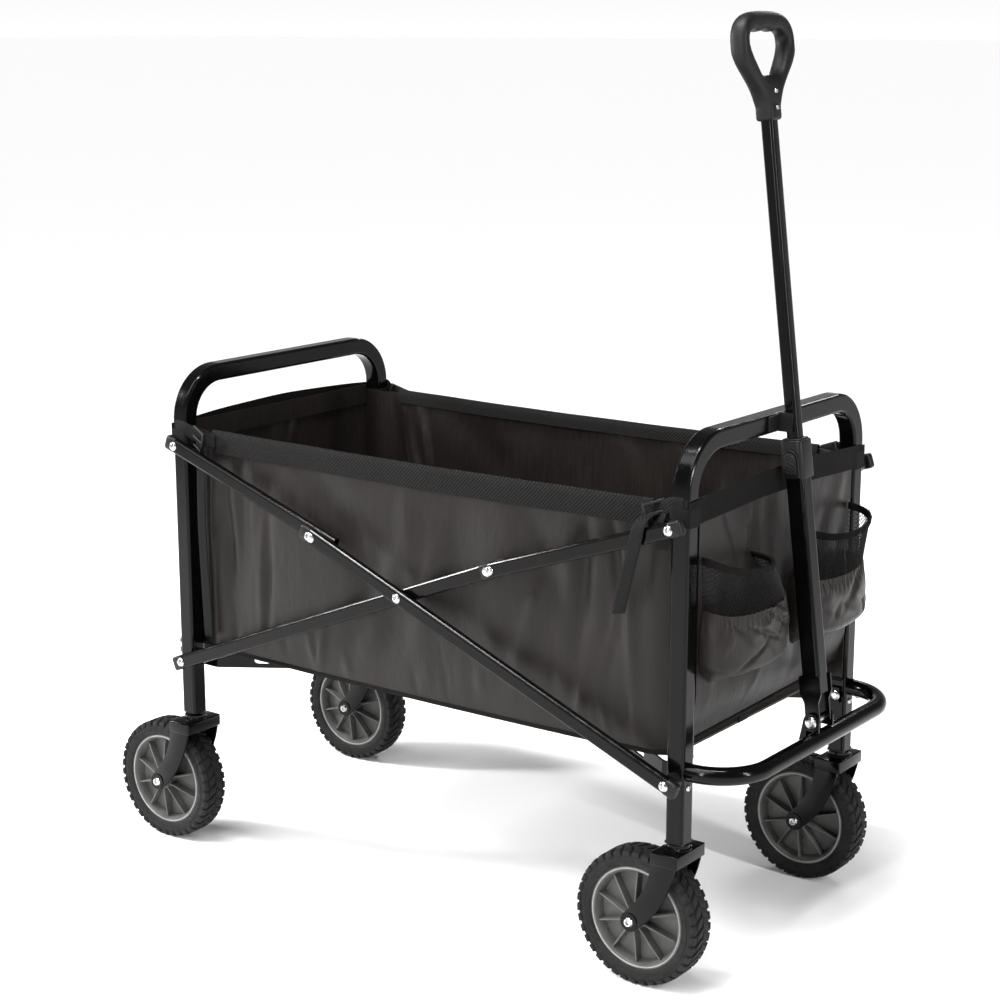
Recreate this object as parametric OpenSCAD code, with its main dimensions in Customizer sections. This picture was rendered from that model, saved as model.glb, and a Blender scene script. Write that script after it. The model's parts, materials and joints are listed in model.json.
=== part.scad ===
// Folding camp wagon: scissor side frames between two inverted-U end loops, a fabric basket,
// two front swivel wheels, two fixed rear wheels and a telescoping pull handle.
// X runs forward, Y to the wagon's left, Z up, with Z = 0 on the ground.

/* [End frames] */
// Distance between the front and rear posts, centre to centre
post_spacing = 830; // [780:5:880]
// Distance between the left and right posts, centre to centre
post_gauge = 421; // [400:1:450]
// Side of the square frame tube
tube_side = 25; // [24:0.5:26]
// Wall of the frame tube
tube_wall = 1.5; // [1.2:0.1:2]
// Height of the top bars' centre line
top_bar_z = 694; // [680:1:720]
// Centre-line radius of the loops' bends
loop_bend = 62; // [55:1:70]
// Height of the posts' lower ends
post_foot_z = 200; // [198:1:204]

/* [Side scissors] */
// Height of the upper side pivots
upper_pivot_z = 598; // [590:1:606]
// Height of the lower side pivots
lower_pivot_z = 280; // [276:1:282]
// Height of the crossing pivot above the lower pivots
cross_rise = 167; // [160:1:175]
// Depth of a side bar, seen from the side
bar_depth = 20; // [18:0.5:22]
// Thickness of a side bar, across the wagon
bar_thick = 12; // [11:0.5:12]
// Radius of the rivets' shanks
rivet_r = 4; // [3.5:0.1:4.2]
// Radius of the rivets' heads
rivet_head_r = 6.5; // [6:0.1:8]

/* [Wheels] */
// Tyre diameter
wheel_d = 178; // [170:1:180]
// Tyre width
tyre_w = 42; // [38:1:44]
// Radius of the wheel's rim
rim_r = 67; // [64:0.5:70]
// Distance that each axle trails behind its post
wheel_trail = 50; // [45:1:52]
// Distance from the wheel's centre to a fork leg's middle
fork_half = 31; // [30.5:0.1:34]

/* [Bumper and handle] */
// Height of the bumper's centre line
bumper_z = 290; // [288:1:292]
// Distance from the front posts' centres to the bumper's front tube
bumper_reach = 82; // [81:1:86]
// Centre-line radius of the bumper's bends
bumper_bend = 68; // [60:1:68]
// Distance from the front posts' centres to the handle's pivot
pivot_reach = 76; // [75:0.5:77]
// Height of the handle's pivot
handle_pivot_z = 314; // [313.5:0.5:316]
// Backward lean of the parked handle, in degrees
handle_lean = 7.3; // [7.1:0.1:7.4]
// Distance from the pivot to the grip's lower end
grip_start = 756; // [740:1:770]
// Height of the grip
grip_len = 131; // [120:1:140]
// Width of the grip
grip_w = 126; // [118:1:130]

/* [Basket] */
// Height of the basket's rim
rim_z = 622; // [615:1:628]
// Height of the basket's underside
floor_z = 303; // [302:1:306]
// Thickness of the padded basket walls
cloth = 3; // [2:0.5:4]
// Height of the webbing along the rim
webbing_h = 30; // [25:1:35]
// Width of a front pocket
pocket_w = 172; // [160:1:174]
// How far a front pocket stands out
pocket_depth = 50; // [40:1:60]
// Height of a front pocket's bottom
pocket_z = 386; // [370:1:400]
// Height of a front pocket's open edge
pocket_top_z = 558; // [545:1:570]

/* [Hidden] */

$fn = 48;
right = -1;
left = 1;

// Frame positions. The origin is under the middle of the whole wagon's box.
half_tube = tube_side / 2;
wheel_r = wheel_d / 2;
rear_reach = wheel_trail + wheel_r;
front_reach = bumper_reach + half_tube;
rear_x = -post_spacing / 2 + (rear_reach - front_reach) / 2;
front_x = rear_x + post_spacing;
mid_x = (rear_x + front_x) / 2;
post_y = post_gauge / 2;
post_in = post_y - half_tube;
post_out = post_y + half_tube;

// Lanes of the side bars, measured from the post's outer face
lane_gap = 0.5;
inner_lane = post_out + 1;
outer_lane = inner_lane + bar_thick + lane_gap;
outer_face = outer_lane + bar_thick;

// Scissor geometry
half_bar = norm([post_spacing / 2, cross_rise]);
bar_angle = atan2(cross_rise, post_spacing / 2);
reach_past_cross = 0.357;
link_run = post_spacing / 2 * (1 - reach_past_cross);
link_drop = upper_pivot_z - lower_pivot_z - cross_rise * (1 + reach_past_cross);
link_len = norm([link_run, link_drop]);
link_angle = atan2(link_drop, link_run);
long_len = half_bar * (1 + reach_past_cross);
bar_end = 14;
link_tail = 30;
pivot_fit = 0.05;
head_h = 2.5;

// Handle
lower_end = 36;
lower_top = 345;
housing_z = 310;
housing_top = 358;
upper_side = 18;
upper_end = 290;
grip_thick = 28;

// Underside arms
arm_h = 22;
arm_tail = 5;
arm_t = 3.5;
arm_y = post_in - 5;
hub_half = 30;
rear_arm_lane = 30;
front_arm_lane = 35;
arm_len = post_spacing / 2 - hub_half;

// ---------------------------------------------------------------- shapes

// Points of a rounded square or rectangle, with the corners as arcs
function rounded(w, h, r, steps = 4) = [
    for (q = [0:3], s = [0:steps])
        let (a = 90 * q + 90 * s / steps,
             sx = (q == 0 || q == 3) ? 1 : -1,
             sy = (q < 2) ? 1 : -1)
        [sx * (w / 2 - r) + r * cos(a), sy * (h / 2 - r) + r * sin(a)]
];

module ring_profile(w, h, r, wall) {
    difference() {
        polygon(rounded(w, h, r));
        square([w - 2 * wall, h - 2 * wall], center = true);
    }
}

module frame_profile() {
    ring_profile(tube_side, tube_side, 4, tube_wall);
}

// A quarter bend of frame tube: it starts at [r, 0, 0] along +Y and ends at [0, r, 0] along -X
module frame_bend(r) {
    rotate_extrude(angle = 90, $fn = 96) translate([r, 0]) frame_profile();
}

// A round bar along Y from y0 to y1
module rod_y(r, y0, y1) {
    translate([0, y0, 0]) rotate([-90, 0, 0]) cylinder(r = r, h = y1 - y0);
}

// A rivet along Y with a shank and a domed head at the chosen ends
module rivet_y(y0, y1, near_head = true, far_head = true) {
    rod_y(rivet_r, y0, y1);
    if (far_head) translate([0, y1, 0]) rotate([-90, 0, 0]) rivet_head();
    if (near_head) translate([0, y0, 0]) rotate([90, 0, 0]) rivet_head();
}

module rivet_head(r = rivet_head_r, h = head_h) {
    rotate_extrude() polygon([
        [0, 0], [r, 0], [r, h * 0.3], [r * 0.86, h * 0.68], [r * 0.55, h * 0.93], [0, h]
    ]);
}

// Repeats its children on the left side and mirrored on the right side
module both_sides() {
    children();
    mirror([0, 1, 0]) children();
}

module on_side(side) {
    if (side == left) children();
    else mirror([0, 1, 0]) children();
}

// ---------------------------------------------------------------- end frames

module end_loop(x) {
    leg = top_bar_z - loop_bend - post_foot_z;
    bar = post_gauge - 2 * loop_bend;
    difference() {
        union() {
            both_sides() {
                translate([x, post_y, post_foot_z]) linear_extrude(leg) frame_profile();
                translate([x, post_y - loop_bend, top_bar_z - loop_bend])
                    rotate([90, 0, 90]) frame_bend(loop_bend);
            }
            translate([x, bar / 2, top_bar_z]) rotate([90, 0, 0]) linear_extrude(bar) frame_profile();
        }
        for (z = [upper_pivot_z, lower_pivot_z])
            translate([x, 0, z]) rod_y(rivet_r + pivot_fit, -post_out - 1, post_out + 1);
    }
}

module rear_loop() {
    color("black") end_loop(rear_x);
}

module front_loop() {
    color("black") end_loop(front_x);
}

// Flat bar bolted across the rear faces of the rear posts
cross_bar_z = 298;
cross_bar_h = 28;
cross_bar_t = 4;
cross_bolt_pitch = 14;

module rear_cross_bar() {
    back = rear_x - half_tube - cross_bar_t;
    color("black") difference() {
        translate([back, -post_y - 6, cross_bar_z - cross_bar_h / 2])
            cube([cross_bar_t, post_gauge + 12, cross_bar_h]);
        for (y = [-post_y, post_y], k = [-0.5, 0.5])
            translate([back - 1, y, cross_bar_z + k * cross_bolt_pitch])
                rotate([0, 90, 0]) cylinder(r = 3, h = cross_bar_t + 2);
    }
}

module rear_cross_bolts() {
    back = rear_x - half_tube - cross_bar_t;
    color("silver") for (y = [-post_y, post_y], k = [-0.5, 0.5])
        translate([back, y, cross_bar_z + k * cross_bolt_pitch]) {
            rotate([0, 90, 0]) cylinder(r = 2.95, h = cross_bar_t);
            rotate([0, -90, 0]) rivet_head(6, 6);
        }
}

module bumper() {
    x0 = front_x + half_tube;
    straight = bumper_reach - half_tube - bumper_bend;
    bar = post_gauge - 2 * bumper_bend;
    color("black") {
        both_sides() {
            translate([x0, post_y, bumper_z]) rotate([90, 0, 90])
                linear_extrude(straight) frame_profile();
            translate([x0 + straight, post_y - bumper_bend, bumper_z])
                frame_bend(bumper_bend);
        }
        translate([front_x + bumper_reach, bar / 2, bumper_z])
            rotate([90, 0, 0]) linear_extrude(bar) frame_profile();
    }
}

// ---------------------------------------------------------------- side bars

// A hollow bar from its first pivot along +X, tilted up by angle, on the inner or outer lane
module side_bar(x, z, angle, len, tail, lane, holes) {
    translate([x, lane + bar_thick / 2, z]) rotate([0, -angle, 0]) difference() {
        translate([-bar_end, 0, 0]) rotate([90, 0, 90])
            linear_extrude(bar_end + len + tail) ring_profile(bar_thick, bar_depth, 4, 1.2);
        for (h = holes)
            translate([h, 0, 0]) rod_y(rivet_r + pivot_fit, -bar_thick, bar_thick);
    }
}

// A plug that closes each end of a bar
module bar_caps(x, z, angle, len, tail, lane) {
    cap_h = 3;
    translate([x, lane + bar_thick / 2, z]) rotate([0, -angle, 0])
        for (at = [-bar_end - cap_h, len + tail])
            translate([at, 0, 0]) rotate([90, 0, 90])
                linear_extrude(cap_h) polygon(rounded(bar_thick, bar_depth, 4));
}

module long_bar(side) {
    color("black") on_side(side)
        side_bar(rear_x, lower_pivot_z, bar_angle, long_len, bar_end, inner_lane,
                 [0, half_bar, long_len]);
}

module left_long_bar() { long_bar(left); }
module right_long_bar() { long_bar(right); }

module cross_bar(side) {
    color("black") on_side(side)
        side_bar(front_x, lower_pivot_z, 180 - bar_angle, long_len, bar_end, outer_lane,
                 [0, half_bar, long_len]);
}

module left_cross_bar() { cross_bar(left); }
module right_cross_bar() { cross_bar(right); }

module rear_link(side) {
    color("black") on_side(side)
        side_bar(rear_x, upper_pivot_z, -link_angle, link_len, link_tail, inner_lane, [0, link_len]);
}

module left_rear_link() { rear_link(left); }
module right_rear_link() { rear_link(right); }

module front_link(side) {
    color("black") on_side(side)
        side_bar(front_x, upper_pivot_z, 180 + link_angle, link_len, bar_end, outer_lane,
                 [0, link_len]);
}

module left_front_link() { front_link(left); }
module right_front_link() { front_link(right); }

module long_bar_caps() {
    color("dimgray") both_sides()
        bar_caps(rear_x, lower_pivot_z, bar_angle, long_len, bar_end, inner_lane);
}

module cross_bar_caps() {
    color("dimgray") both_sides()
        bar_caps(front_x, lower_pivot_z, 180 - bar_angle, long_len, bar_end, outer_lane);
}

// Rivets at the rear posts: both bars there run on the inner lane. The lower ones also carry
// the floor arms on the posts' inner faces.
module rear_post_rivets() {
    color("silver") both_sides() {
        translate([rear_x, 0, upper_pivot_z]) {
            rivet_y(post_in, inner_lane + bar_thick);
            post_washer();
        }
        translate([rear_x, 0, lower_pivot_z]) {
            rivet_y(arm_y - 0.2, inner_lane + bar_thick);
            post_washer();
        }
    }
}

module post_washer() {
    rod_y(9, post_out, inner_lane - 0.1);
}

module front_post_rivets() {
    color("silver") both_sides() {
        translate([front_x, 0, upper_pivot_z]) rivet_y(post_in, outer_face);
        translate([front_x, 0, lower_pivot_z]) rivet_y(arm_y - 0.2, outer_face);
    }
}

// Plastic blocks that hold the outer-lane bars off the front posts
module front_spacers() {
    color("black") both_sides() for (z = [upper_pivot_z, lower_pivot_z])
        translate([front_x, 0, z]) difference() {
            rod_y(11, post_out, outer_lane - 0.1);
            rod_y(rivet_r + pivot_fit, post_out - 1, outer_lane + 1);
        }
}

// The crossing rivets, and the heads behind the long bars at their upper ends
module long_bar_rivets() {
    color("silver") both_sides() translate([rear_x, 0, lower_pivot_z]) {
        translate([half_bar * cos(bar_angle), 0, half_bar * sin(bar_angle)])
            rivet_y(inner_lane, outer_face);
        translate([long_len * cos(bar_angle), 0, long_len * sin(bar_angle)])
            rivet_y(inner_lane, inner_lane + bar_thick, true, false);
    }
}

module cross_bar_rivets() {
    color("silver") both_sides() translate([front_x, 0, lower_pivot_z])
        translate([-long_len * cos(bar_angle), 0, long_len * sin(bar_angle)])
            rivet_y(outer_lane, outer_face, false, true);
}

module front_link_rivets() {
    color("silver") both_sides() translate([front_x, 0, upper_pivot_z])
        translate([-link_run, 0, -link_drop]) rivet_y(outer_lane, outer_face, false, true);
}

// ---------------------------------------------------------------- underside

// Left and right offsets of a path in plan, mitred at its corners
function unit(v) = v / norm(v);
function turned(v) = [-v[1], v[0]];
function corner(path, i, d) =
    let (a = i == 0 ? turned(unit(path[1] - path[0])) : turned(unit(path[i] - path[i - 1])),
         b = i == len(path) - 1 ? a : turned(unit(path[i + 1] - path[i])),
         m = unit(a + b))
    path[i] + m * d / (m * a);

// A flat bar on edge that follows a path in plan
module bent_bar(path, t, h) {
    last = len(path) - 1;
    translate([0, 0, -h / 2]) linear_extrude(h) polygon(concat(
        [for (i = [0:last]) corner(path, i, t / 2)],
        [for (i = [last:-1:0]) corner(path, i, -t / 2)]
    ));
}

// One floor arm: it turns on the lower post rivet and ends in a straight run beside the hub
module floor_arm(lane) {
    root_y = arm_y + arm_t / 2;
    tip_y = lane + arm_t / 2;
    elbow = [34, root_y];
    knee = [arm_len - 105, tip_y];
    slot_at = elbow + (knee - elbow) * 0.24;
    slant = atan2(knee[1] - elbow[1], knee[0] - elbow[0]);
    difference() {
        bent_bar([[-arm_tail, root_y], elbow, knee, [arm_len + 10, tip_y]], arm_t, arm_h);
        rod_y(rivet_r + pivot_fit, root_y - 6, root_y + 6);
        translate([arm_len, 0, 0]) rod_y(rivet_r + pivot_fit, tip_y - 6, tip_y + 6);
        translate([slot_at[0], slot_at[1], 0]) rotate([0, 0, slant]) {
            for (dx = [-12, 12]) translate([dx, 0, 0]) rod_y(5, -8, 8);
            translate([-12, -8, -5]) cube([24, 16, 10]);
        }
    }
}

module rear_floor_arms() {
    color("black") both_sides()
        translate([rear_x, 0, lower_pivot_z]) floor_arm(rear_arm_lane);
}

module front_floor_arms() {
    color("black") both_sides()
        translate([front_x, 0, lower_pivot_z]) mirror([1, 0, 0]) floor_arm(front_arm_lane);
}

// The centre block, with its pins in the rear arms' tips
module floor_hub() {
    color("black") translate([mid_x, 0, lower_pivot_z]) {
        translate([-hub_half - 10, -rear_arm_lane + 0.5, -9])
            cube([2 * hub_half + 20, 2 * rear_arm_lane - 1, 18]);
        both_sides() translate([-hub_half, 0, 0])
            rod_y(rivet_r, rear_arm_lane - 1, rear_arm_lane + arm_t);
    }
}

// ---------------------------------------------------------------- wheels and forks

axle_r = 6;
fork_t = 3;
crown_top = 190;
leg_w = 13;

module wheel_at(x, side) {
    translate([x - wheel_trail, side * post_y, wheel_r]) children();
}

module tyre() {
    half = tyre_w / 2;
    color("black") rotate([90, 0, 0]) rotate_extrude($fn = 96) polygon([
        [rim_r, -half * 0.8], [rim_r + 6, -half], [wheel_r - 6, -half], [wheel_r - 1, -half * 0.8],
        [wheel_r, -half * 0.45], [wheel_r, half * 0.45], [wheel_r - 1, half * 0.8],
        [wheel_r - 6, half], [rim_r + 6, half], [rim_r, half * 0.8]
    ]);
}

// Dished plastic wheel centre with a plain bore
module hub() {
    half = tyre_w / 2 * 0.8;
    bore = axle_r + 0.08;
    color("dimgray") rotate([90, 0, 0]) rotate_extrude($fn = 96) polygon([
        [bore, -27], [14, -27], [15, -9], [rim_r - 7, -4], [rim_r - 4, -half], [rim_r, -half],
        [rim_r, half], [rim_r - 4, half], [rim_r - 7, 4], [15, 9], [14, 27], [bore, 27]
    ]);
}

// Crown, two trailing legs and the upright stem
module fork() {
    leg_top = 19;
    reach = [-wheel_trail, wheel_r - crown_top];
    knee = [-15.5, -48];
    knee_step = [16.5, 0];
    side_step = turned(unit(reach - knee)) * leg_w;
    hole = axle_r + 0.08;
    translate([0, 0, crown_top]) {
        difference() {
            translate([-leg_top, -fork_half - fork_t / 2, -8])
                cube([2 * leg_top, 2 * fork_half + fork_t, 8]);
            translate([-leg_top - 1, -fork_half + fork_t / 2, -9])
                cube([2 * leg_top + 2, 2 * fork_half - fork_t, 6]);
        }
        for (s = [-1, 1]) translate([0, s * fork_half + fork_t / 2, 0]) difference() {
            union() {
                rotate([90, 0, 0]) linear_extrude(fork_t) polygon([
                    [-leg_top, -6], [leg_top - 6, -6], knee + knee_step,
                    reach + side_step, reach - side_step, knee - knee_step
                ]);
                translate([-wheel_trail, -fork_t, wheel_r - crown_top]) rod_y(leg_w, 0, fork_t);
            }
            translate([-wheel_trail, -fork_t, wheel_r - crown_top]) rod_y(hole, -1, fork_t + 1);
        }
        cylinder(r = 15, h = post_foot_z - crown_top - 3.5);
    }
}

// A swivelling fork has a round stem that turns in its socket
module caster_fork(side) {
    color("black") translate([front_x, side * post_y, 0]) {
        fork();
        translate([0, 0, crown_top]) cylinder(r = 5, h = 42);
    }
}

module front_left_fork() { caster_fork(left); }
module front_right_fork() { caster_fork(right); }

// A fixed fork has a square shank in the post
module fixed_fork(side) {
    shank = tube_side - 2 * tube_wall - 0.1;
    color("black") translate([rear_x, side * post_y, 0]) {
        fork();
        translate([-half_tube, -half_tube, post_foot_z - 4]) cube([tube_side, tube_side, 4]);
        translate([-shank / 2, -shank / 2, post_foot_z - 4]) cube([shank, shank, 36]);
    }
}

module rear_left_fork() { fixed_fork(left); }
module rear_right_fork() { fixed_fork(right); }

// Plastic sockets in the feet of the front posts
module caster_sockets() {
    plug = tube_side - 2 * tube_wall - 0.1;
    color("black") both_sides() translate([front_x, post_y, post_foot_z]) difference() {
        union() {
            translate([-half_tube, -half_tube, -3]) cube([tube_side, tube_side, 3]);
            translate([-plug / 2, -plug / 2, -3]) cube([plug, plug, 43]);
        }
        translate([0, 0, -4]) cylinder(r = 5 + pivot_fit, h = 46);
    }
}

module axle_bolt() {
    end = fork_half + fork_t / 2;
    color("silver") {
        rod_y(axle_r, -end, end);
        translate([0, end, 0]) rotate([-90, 0, 0]) rivet_head(8.5, 5);
        translate([0, -end, 0]) rotate([90, 0, 0]) rivet_head(8.5, 5);
    }
}

module rear_axle_bolts() {
    for (side = [left, right]) wheel_at(rear_x, side) axle_bolt();
}

module front_left_axle_bolt() { wheel_at(front_x, left) axle_bolt(); }
module front_right_axle_bolt() { wheel_at(front_x, right) axle_bolt(); }
module rear_left_tyre() { wheel_at(rear_x, left) tyre(); }
module rear_right_tyre() { wheel_at(rear_x, right) tyre(); }
module front_left_tyre() { wheel_at(front_x, left) tyre(); }
module front_right_tyre() { wheel_at(front_x, right) tyre(); }
module rear_left_hub() { wheel_at(rear_x, left) hub(); }
module rear_right_hub() { wheel_at(rear_x, right) hub(); }
module front_left_hub() { wheel_at(front_x, left) hub(); }
module front_right_hub() { wheel_at(front_x, right) hub(); }

// ---------------------------------------------------------------- handle

// Puts its children in the handle's own frame: origin at the pivot, +Z along the tube
module along_handle() {
    translate([front_x + pivot_reach, 0, handle_pivot_z]) rotate([0, -handle_lean, 0]) children();
}

ear_in = 17.2;
ear_t = 3;
ear_r = 11.4;
pivot_bolt_r = 5;

// Two ears on the bumper's rear and top faces
module handle_bracket() {
    back = front_x + bumper_reach - half_tube;
    top = bumper_z + half_tube;
    px = front_x + pivot_reach;
    color("black") {
        both_sides() difference() {
            translate([0, ear_in, 0]) union() {
                translate([0, ear_t, 0]) rotate([90, 0, 0]) linear_extrude(ear_t) polygon([
                    [back - 12, bumper_z - 11], [back, bumper_z - 11], [back, top],
                    [px + ear_r, top], [px + ear_r, handle_pivot_z], [px - ear_r, handle_pivot_z]
                ]);
                translate([px, 0, handle_pivot_z]) rod_y(ear_r, 0, ear_t);
            }
            translate([px, 0, handle_pivot_z])
                rod_y(pivot_bolt_r + pivot_fit, ear_in - 1, ear_in + ear_t + 1);
        }
        translate([back - 3, -ear_in - 0.5, bumper_z - 11]) cube([3, 2 * ear_in + 1, 20]);
    }
}

module handle_pivot_bolt() {
    color("silver") translate([front_x + pivot_reach, 0, handle_pivot_z]) {
        rod_y(pivot_bolt_r, -ear_in - ear_t, ear_in + ear_t);
        translate([0, ear_in + ear_t, 0]) rotate([-90, 0, 0]) rivet_head(8, 3.5);
        translate([0, -ear_in - ear_t, 0]) rotate([90, 0, 0]) rivet_head(8, 3.5);
    }
}

// Stamped channel round the handle tube's foot
module handle_yoke() {
    cheek = 12.6;
    cheek_t = 3;
    color("black") along_handle() {
        both_sides() difference() {
            translate([0, cheek, 0]) union() {
                translate([0, cheek_t, 0]) rotate([90, 0, 0]) linear_extrude(cheek_t) polygon([
                    [-10, 0], [10, 0], [10, 24], [15, 36], [15, 58], [-15, 58], [-15, 36], [-10, 24]
                ]);
                rod_y(10, 0, cheek_t);
            }
            rod_y(pivot_bolt_r + pivot_fit, cheek - 1, cheek + cheek_t + 1);
        }
        translate([-15, -cheek - 0.5, 38]) cube([2.4, 2 * cheek + 1, 20]);
    }
}

module handle_lower_tube() {
    color("black") along_handle() translate([0, 0, lower_end])
        linear_extrude(lower_top - lower_end) frame_profile();
}

module handle_upper_tube() {
    color("black") along_handle() translate([0, 0, upper_end])
        linear_extrude(grip_start + 24 - upper_end) ring_profile(upper_side, upper_side, 4, 1.5);
}

// Collar over the joint of the two tubes, with a pocket for the button on its right face
module lock_housing() {
    half = 15.5;
    boss = 19.5;
    color("black") along_handle() difference() {
        union() {
            translate([-half, -half, housing_z]) cube([2 * half, 2 * half, housing_top - housing_z]);
            translate([-12, -boss, housing_z + 1]) cube([24, boss, 36]);
        }
        translate([-half_tube - 0.05, -half_tube - 0.05, housing_z - 1])
            cube([tube_side + 0.1, tube_side + 0.1, lower_top - housing_z + 1]);
        translate([-upper_side / 2 - 0.3, -upper_side / 2 - 0.3, housing_z])
            cube([upper_side + 0.6, upper_side + 0.6, 80]);
        translate([-9.2, -boss - 1, housing_z + 4.8]) cube([18.4, boss - half_tube + 1, 27.4]);
    }
}

module lock_button() {
    color("dimgray") along_handle() {
        translate([-9, -22, housing_z + 5]) cube([18, 5, 18]);
        translate([0, -22, housing_z + 23]) rod_y(9, 0, 5);
    }
}

module lock_spring() {
    color("silver") along_handle() translate([0, -17, housing_z + 18])
        rotate([-90, 0, 0]) difference() {
            cylinder(r = 5, h = 4.3);
            translate([0, 0, -1]) cylinder(r = 3.8, h = 7);
        }
}

// D-shaped grip with a rounded opening for the fingers
module handle_grip() {
    spread = grip_w / 2 - 18;
    top = grip_start + grip_len - 18;
    color("black") along_handle() difference() {
        translate([-grip_thick / 2, 0, 0]) rotate([90, 0, 90]) linear_extrude(grip_thick)
            hull() {
                for (s = [-1, 1]) translate([s * spread, top]) circle(18, $fn = 32);
                for (s = [-1, 1]) translate([s * 9, grip_start + 6]) circle(6, $fn = 32);
            }
        translate([-grip_thick, 0, 0]) rotate([90, 0, 90]) linear_extrude(2 * grip_thick)
            hull() {
                for (s = [-1, 1]) translate([s * (spread - 9), top - 4]) circle(9, $fn = 32);
                translate([0, top - 46]) circle(10, $fn = 32);
            }
        translate([-upper_side / 2, -upper_side / 2, grip_start - 1])
            cube([upper_side, upper_side, 25]);
    }
}

// Pad on the front top bar with two jaws beside the parked handle
module handle_clip() {
    pad_t = 1.6;
    jaw_in = upper_side / 2 + 0.4;
    jaw_t = 3;
    face = front_x + half_tube;
    color("black") {
        translate([face, -jaw_in - 30, top_bar_z - 10]) cube([pad_t, 2 * jaw_in + 30 + jaw_t, 20]);
        both_sides() translate([face, jaw_in, top_bar_z - 11.5]) cube([19, jaw_t, 24]);
    }
}

// ---------------------------------------------------------------- basket

panel_gap = 8.5;
seam_gap = 1.2;
wall_inset = 5;
wall_y = post_y - wall_inset;

module end_panel(x, out) {
    near = out > 0 ? x + panel_gap : x - panel_gap - cloth;
    color("dimgray") translate([near, -post_in + seam_gap, floor_z])
        cube([cloth, 2 * (post_in - seam_gap), rim_z + 6 - floor_z]);
}

module basket_rear_panel() { end_panel(rear_x, -1); }
module basket_front_panel() { end_panel(front_x, 1); }

module side_wall(side) {
    x0 = rear_x + half_tube + seam_gap;
    color("dimgray") on_side(side) translate([x0, wall_y, floor_z])
        cube([post_spacing - tube_side - 2 * seam_gap, cloth, rim_z - floor_z]);
}

module basket_left_wall() { side_wall(left); }
module basket_right_wall() { side_wall(right); }

module basket_floor() {
    long_x = rear_x - panel_gap + seam_gap;
    wide_x = rear_x + half_tube + seam_gap;
    color("dimgray") {
        translate([long_x, -post_in + seam_gap, floor_z])
            cube([post_spacing + 2 * (panel_gap - seam_gap), 2 * (post_in - seam_gap), cloth]);
        translate([wide_x, -wall_y + seam_gap, floor_z])
            cube([post_spacing - tube_side - 2 * seam_gap, 2 * (wall_y - seam_gap), cloth]);
    }
}

module side_rim_webbing() {
    x0 = rear_x + half_tube + seam_gap;
    color("black") both_sides() translate([x0, wall_y + cloth, rim_z - webbing_h])
        cube([post_spacing - tube_side - 2 * seam_gap, 1.5, webbing_h]);
}

// The end band, and the strap loops that hold the basket's corners to the posts
module rim_band(x, out) {
    strap_t = 0.8;
    strap_low = 12;
    strap_tall = 18;
    near = out > 0 ? x + panel_gap + cloth : x - panel_gap - cloth - strap_t;
    color("black") {
        translate([near, -post_in + 0.5, rim_z + 6 - webbing_h]) cube([strap_t, 2 * post_in - 1, webbing_h]);
        both_sides() translate([x, post_y, rim_z - strap_low]) linear_extrude(strap_tall) difference() {
            polygon(rounded(tube_side + 2 * strap_t, tube_side + 2 * strap_t, 4.5));
            polygon(rounded(tube_side, tube_side, 4));
        }
    }
}

module rear_rim_band() { rim_band(rear_x, -1); }
module front_rim_band() { rim_band(front_x, 1); }

// Bulging pouch with an open top
module pocket(side) {
    x0 = front_x + panel_gap + cloth;
    y0 = 19 + pocket_w / 2;
    h = pocket_top_z - pocket_z;
    t = 2;
    color("dimgray") on_side(side) translate([x0, y0, pocket_z]) difference() {
        pouch(pocket_w / 2, pocket_depth, h);
        translate([0, 0, t]) pouch(pocket_w / 2 - t, pocket_depth - t, h);
    }
}

// Upright solid whose plan is a flattened half-oval
module pouch(half, depth, h) {
    arc = [for (a = [0:15:180]) [depth * pow(sin(a), 0.6), -half * cos(a)]];
    linear_extrude(h) polygon(arc);
}

module left_pocket() { pocket(left); }
module right_pocket() { pocket(right); }

// ---------------------------------------------------------------- nodes

rear_loop();
rear_cross_bar();
rear_cross_bolts();
rear_post_rivets();
rear_left_fork();
rear_right_fork();
rear_axle_bolts();
basket_rear_panel();
basket_left_wall();
basket_right_wall();
basket_floor();
side_rim_webbing();
rear_rim_band();
rear_left_tyre();
rear_left_hub();
rear_right_tyre();
rear_right_hub();
left_long_bar();
right_long_bar();
long_bar_rivets();
long_bar_caps();
left_cross_bar();
right_cross_bar();
cross_bar_rivets();
cross_bar_caps();
left_rear_link();
right_rear_link();
left_front_link();
right_front_link();
front_link_rivets();
front_loop();
bumper();
handle_bracket();
handle_clip();
front_post_rivets();
front_spacers();
caster_sockets();
basket_front_panel();
front_rim_band();
left_pocket();
right_pocket();
front_left_fork();
front_left_axle_bolt();
front_left_tyre();
front_left_hub();
front_right_fork();
front_right_axle_bolt();
front_right_tyre();
front_right_hub();
rear_floor_arms();
front_floor_arms();
floor_hub();
handle_yoke();
handle_pivot_bolt();
handle_lower_tube();
lock_housing();
lock_button();
lock_spring();
handle_upper_tube();
handle_grip();
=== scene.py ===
"""Folding camp wagon: the looks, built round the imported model's bodies."""

import json
import math
import random

import bpy
from mathutils import Matrix, Vector


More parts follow.
